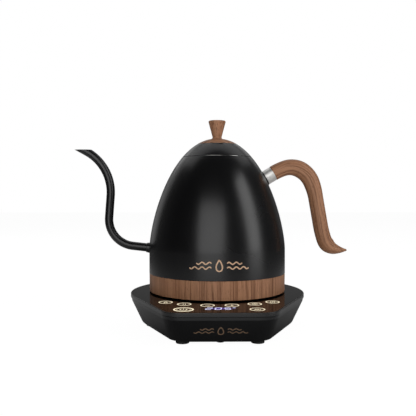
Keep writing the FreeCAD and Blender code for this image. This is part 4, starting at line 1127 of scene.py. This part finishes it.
class KETTLE_OT_keys(bpy.types.Operator):
    """Lit rings and drawings of the touch keys"""
    bl_idname = "kettle.keys"
    bl_label = "Touch keys"

    def execute(self, context):
        drawings = key_drawings()
        keys = [(side * KEY_ARC * sin(radians(turn)), -KEY_ARC * cos(radians(turn)), KEY_RADIUS)
                for turn in KEY_ANGLES for side in (-1, 1)] + list(FRONT_KEYS)
        surfaces = []
        for (x, y, radius), drawn in zip(keys, KEY_ORDER):
            rings = [(radius, RING_LINE)]
            if drawn == "power":
                rings = [(radius, POWER_LINE), (radius - POWER_RING, POWER_RING_LINE)]
            lines = [(arc(0, 0, reach, count=72), thick, True) for reach, thick in rings]
            lines += [(path * MM, DRAWN_LINE, closed) for path, closed in drawings[drawn]]
            surfaces += [stroke(path, thick, on_panel(x, y), closed) for path, thick, closed in lines]
        ink = printed("lit_key_print", context.scene.kettle_finishes.key_print, 0.3, 0.95)
        make_piece("key_print", merged(surfaces), ink, "base")
        return {"FINISHED"}


# segments lit in each figure: top, upper left, upper right, middle, lower left, lower right, bottom
FIGURES = {"2": "1011101", "0": "1110111", "5": "1101011"}
# in millimetres: the figures' middles, half sizes, slant and the gap at a bar's ends
SHOWN = (("2", -10.4), ("0", -1.8), ("5", 6.8))
FIGURE_HALF_WIDE, FIGURE_HALF_TALL, FIGURE_SLANT, BAR_GAP = 2.6, 4.5, 0.14, 0.42
BAR_LINE, BAR_HIGH = 1.05 * MM, 0.09 * MM
DEGREE_RING = (12.8 * MM, 3.8 * MM, 1.1 * MM)    # x, y and radius
DEGREE_LINE = 0.6 * MM
GLOW_HALF = (17.5 * MM, 6.2 * MM)
GLOW_HIGH, GLOW_LOW = 0.03 * MM, -0.05 * MM


class KETTLE_OT_display(bpy.types.Operator):
    """Lit seven-bar figures behind the panel and the glow round them"""
    bl_idname = "kettle.display"
    bl_label = "Display"

    def execute(self, context):
        low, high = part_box("display_module")
        middle = (low + high) / 2
        place = on_panel(middle.x, middle.y)
        w, h = FIGURE_HALF_WIDE, FIGURE_HALF_TALL
        bars = ((-w, h, w, h), (-w, 0, -w, h), (w, 0, w, h), (-w, 0, w, 0), (-w, -h, -w, 0), (w, -h, w, 0),
                (-w, -h, w, -h))
        surfaces = []
        for figure, shift in SHOWN:
            for lit, (x0, y0, x1, y1) in zip(FIGURES[figure], bars):
                if lit == "1":
                    dx, dy = np.sign(x1 - x0) * BAR_GAP, np.sign(y1 - y0) * BAR_GAP
                    path = line(x0 + dx, y0 + dy, x1 - dx, y1 - dy)
                    path[:, 0] += path[:, 1] * FIGURE_SLANT + shift
                    surfaces.append(stroke(path * MM, BAR_LINE, place, low=0.0, high=BAR_HIGH))
        ring = arc(*DEGREE_RING, count=28)
        surfaces.append(stroke(ring, DEGREE_LINE, place, True, 0.0, BAR_HIGH))
        ink = printed("lit_figures", context.scene.kettle_finishes.figures, 0.3, 0.9)
        make_piece("display_figures", merged(surfaces), ink, "base")
        around = np.linspace(0, 2 * pi, 72, endpoint=False)
        share = np.linspace(0.08, 1, 12)[:, None]
        corner = (np.abs(np.cos(around)) ** 4 + np.abs(np.sin(around)) ** 4) ** -0.25
        x, y = (share * half * corner * turn
                for half, turn in zip(GLOW_HALF, (np.cos(around), np.sin(around))))
        upper, lower = (place(x, y, np.full_like(x, z)) for z in (GLOW_HIGH, GLOW_LOW))
        surface = grid_surface(np.concatenate([upper, lower[::-1]]), False, place(0, 0, GLOW_HIGH),
                               place(0, 0, GLOW_LOW))
        make_piece("display_glow", surface, glow_material(middle), "base")
        return {"FINISHED"}


def glow_material(middle):
    """Panel gloss with a violet glow that fades with the distance from the middle: hypot(x/a, y/b)."""
    half_x, half_y = GLOW_HALF
    material = panel_gloss("display_glow")
    tree = material.node_tree
    where = new_node(tree, "TexCoord", "place").outputs["Object"]
    centred = new_node(tree, "Mapping", "from the display's middle", {
        "Vector": where, "Location": (-middle.x / half_x, -middle.y / half_y, 0),
        "Scale": (1 / half_x, 1 / half_y, 0)})
    fade = spread(tree, distance(tree, centred.outputs["Vector"]), 0.95, 0.25, label="fade")
    glow = blended(tree, maths(tree, "POWER", fade, 1.6), (0.0, 0.0, 0.0, 1.0),
                   rgba(bpy.context.scene.kettle_finishes.glow), "glow")
    fill(tree, tree.nodes["Principled BSDF"], {"Emission Color": glow, "Emission Strength": 0.7})
    return material


# heights of the two ornaments, and the size of the one on the base
MARK_HEIGHT, BASE_MARK_HEIGHT, BASE_MARK_SCALE = 67.6 * MM, 14.6 * MM, 0.82


class KETTLE_OT_marks(bpy.types.Operator):
    """Plain tan ornament on the body, and the dim one on the front of the base"""
    bl_idname = "kettle.marks"
    bl_label = "Marks"

    def execute(self, context):
        body, base = context.scene.kettle_body, context.scene.kettle_base
        colours = context.scene.kettle_finishes

        def on_body(u, v, w):
            turn, reach = u / body.radius, body.radius + w
            return np.stack([reach * np.sin(turn), -reach * np.cos(turn), MARK_HEIGHT + v], axis=-1)

        def on_front(u, v, w):
            lean, z = base.front_rake, BASE_MARK_HEIGHT
            height = z - (BOWL_LOW.z + 1.0 * MM + base.slope_height)
            y = -(base.front_reach - base.edge_inset + height * tan(lean))
            return np.stack([u, y - v * sin(lean) - w * cos(lean), z + v * cos(lean) - w * sin(lean) + 0 * u],
                            axis=-1)

        dim = rgba(colours.mark, colours.dim_mark)[:3]
        for name, place, scale, ink, rides, slot in (
                ("body_mark", on_body, 1.0, printed("tan_mark", colours.mark, 0.42), "kettle", "body_black"),
                ("base_mark", on_front, BASE_MARK_SCALE, printed("dim_mark", dim, 0.45), "base",
                 "housing_black")):
            lines = [stroke(path, wide, place, closed) for path, wide, closed in ornament(scale)]
            make_piece(name, merged(lines), ink, rides)
        return {"FINISHED"}


def ornament(scale):
    """A drop with two waves on each side of it: x = t, y = a * sin(k t), drawn as thin lines."""
    t = np.linspace(0, 1, 60)
    lines = [(drop_path(3.9, 5.4, 0.9, 64), 1.3, True)]
    for side in (-1, 1):
        for height, start, end in ((2.3, 7.6, 22.5), (-2.3, 7.6, 29.5)):
            x = side * (start + (end - start) * t)
            y = height + 1.05 * np.sin(2 * pi * t * (end - start) / 7.3)
            lines.append((np.stack([x, y], axis=1), 1.2, False))
    return [(path * scale * MM, wide * scale * MM, closed) for path, wide, closed in lines]


class KETTLE_OT_underside(bpy.types.Operator):
    """Rubber feet of the base and the bush where the mains lead leaves"""
    bl_idname = "kettle.underside"
    bl_label = "Feet and bush"

    def execute(self, context):
        sizes = context.scene.kettle_base
        low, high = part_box("base_feet")
        radius = sizes.foot_radius
        foot = rounded([
            (0, low.z, 0.0), (radius - 1.6 * MM, low.z, 0.2 * MM), (radius, low.z + 0.25 * MM, 0.5 * MM),
            (radius, high.z, 0.1 * MM), (0, high.z, 0.0)])
        feet = [turned(foot, 56, (x, y, 0)) for x, y in foot_places()]
        rubber = skin("foot_rubber", (0.012, 0.012, 0.012), 0.6, 0.75, 1200.0, 40.0, 1.8, (0.3, 0.0001))
        make_piece("rubber_feet", merged(feet), rubber, "base", ["base_feet"])
        low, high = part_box("cord_gland")
        neck, bore, flange, step = 6.2 * MM, 3.6 * MM, high.x, high.y - 2.6 * MM
        bush = rounded([
            (bore, low.y, 0.3 * MM), (neck, low.y, 0.4 * MM), (neck, step, 0.0), (flange, step, 0.3 * MM),
            (flange - 0.4 * MM, high.y, 0.6 * MM), (bore, high.y, 0.5 * MM)])
        vertices, quads, fans = turned(bush, 72)
        x, y, z = vertices.T
        surface = (np.stack([x, z, (low.z + high.z) / 2 - y], axis=1), quads, fans)
        make_piece("cord_bush", surface, skin("bush_black", (0.014, 0.014, 0.014), 0.5, 0.62), "base",
                   ["cord_gland"])
        return {"FINISHED"}


def foot_places():
    """Two feet at the front, and two on each side of the back arc, as the CAD feet stand."""
    vertices = frame["nodes"]["base_feet"].data.vertices
    points = np.empty(len(vertices) * 3)
    vertices.foreach_get("co", points)
    flat = points.reshape(-1, 3)[:, :2]
    sides, bands = np.sign(flat[:, 0]), np.digitize(flat[:, 1], (-70 * MM, 10 * MM))
    feet = [flat[(sides == side) & (bands == band)] for side in (-1, 1) for band in (0, 1, 2)]
    return [(foot.min(0) + foot.max(0)) / 2 for foot in feet]


def node_finishes(colours):
    """Finish of every CAD node that keeps its own shape, by the record's slot."""
    steel = tuple(colours.steel)
    return {
        "circuit_board": skin("solder_mask", (0.012, 0.085, 0.035), 0.3, 0.42, 500.0, 60.0, 1.6),
        "spring_brass": metal("sprung_brass", (0.72, 0.52, 0.22), 0.22, 0.38),
        "display_black": skin("display_window", (0.01, 0.01, 0.016), 0.12, 0.2, 900.0, 40.0),
        "component_black": skin("component_body", (0.02, 0.02, 0.021), 0.5, 0.6, 1500.0, 50.0),
        "capacitor_sleeve": skin("capacitor_sleeve", (0.015, 0.025, 0.09), 0.25, 0.35, 400.0, 70.0),
        "heat_sink_aluminium": metal("cast_aluminium", (0.66, 0.67, 0.68), 0.34, 0.5, (500, 500, 500)),
        "fuse_glass": skin("fuse_body", (0.55, 0.58, 0.56), 0.08, 0.16, 500.0, 60.0, 0.8),
        "terminal_white": skin("terminal_body", (0.62, 0.61, 0.56), 0.45, 0.55, 900.0, 60.0, 0.85),
        "screw_steel": metal("plated_screws", (0.5, 0.5, 0.51), 0.28, 0.42, (1800, 1800, 1800)),
        "connector_black": skin("connector_moulding", (0.010, 0.010, 0.010), 0.42, 0.55, 1700.0, 24.0),
        "inner_steel": metal("brushed_inner_steel", steel, 0.22, 0.36, (1500, 1500, 90)),
        "silicone": skin("silicone_seal", (0.32, 0.32, 0.31), 0.42, 0.55, 800.0, 50.0, 0.85),
        "body_black": coat(),
        "housing_black": housing(),
    }


class KETTLE_OT_inner_parts(bpy.types.Operator):
    """Finishes of the parts that keep their CAD shape"""
    bl_idname = "kettle.inner_parts"
    bl_label = "Inner parts"

    def execute(self, context):
        finishes = node_finishes(context.scene.kettle_finishes)
        slots = {row["node"]: row["material_slot"] for row in frame["record"]["subparts"]}
        for name, node in frame["nodes"].items():
            if node.hide_render:
                continue
            finish = finishes.get(slots[name])
            if finish is None:
                raise RuntimeError("no finish for " + name)
            node.data.materials.clear()
            node.data.materials.append(finish)
        return {"FINISHED"}


class KETTLE_PT_pieces(bpy.types.Panel):
    """Sizes and colours of the kettle, and one button for each group of pieces"""
    bl_idname = "KETTLE_PT_pieces"
    bl_label = "Gooseneck kettle"
    bl_space_type = "VIEW_3D"
    bl_region_type = "UI"
    bl_category = "Kettle"

    def draw(self, context):
        layout = self.layout
        for operator in OPERATORS:
            layout.operator(operator.bl_idname)
        for name, group in GROUPS.items():
            box = layout.box()
            box.label(text=group.__doc__)
            for prop in group.__annotations__:
                box.prop(getattr(context.scene, name), prop)


GROUPS = {
    "kettle_body": KettleBodySizes,
    "kettle_spout": KettleSpoutSizes,
    "kettle_handle": KettleHandleSizes,
    "kettle_lid": KettleLidSizes,
    "kettle_base": KettleBaseSizes,
    "kettle_finishes": KettleFinishes,
    "kettle_studio": KettleStudioSizes,
}
OPERATORS = (
    KETTLE_OT_studio,
    KETTLE_OT_body,
    KETTLE_OT_band,
    KETTLE_OT_spout,
    KETTLE_OT_handle,
    KETTLE_OT_lid,
    KETTLE_OT_base,
    KETTLE_OT_keys,
    KETTLE_OT_display,
    KETTLE_OT_marks,
    KETTLE_OT_underside,
    KETTLE_OT_inner_parts,
)
CLASSES = (*GROUPS.values(), *OPERATORS, KETTLE_PT_pieces)


def register():
    """Add the classes, and the groups of sizes to the scene."""
    for made in CLASSES:
        bpy.utils.register_class(made)
    for name, group in GROUPS.items():
        setattr(bpy.types.Scene, name, PointerProperty(type=group))


def unregister():
    """Take them away again."""
    for name in GROUPS:
        delattr(bpy.types.Scene, name)
    for made in reversed(CLASSES):
        bpy.utils.unregister_class(made)


def main():
    """Make every piece in order."""
    register()
    for operator in OPERATORS:
        getattr(bpy.ops.kettle, operator.bl_idname.split(".")[1])()


if __name__ == "__main__":
    main()
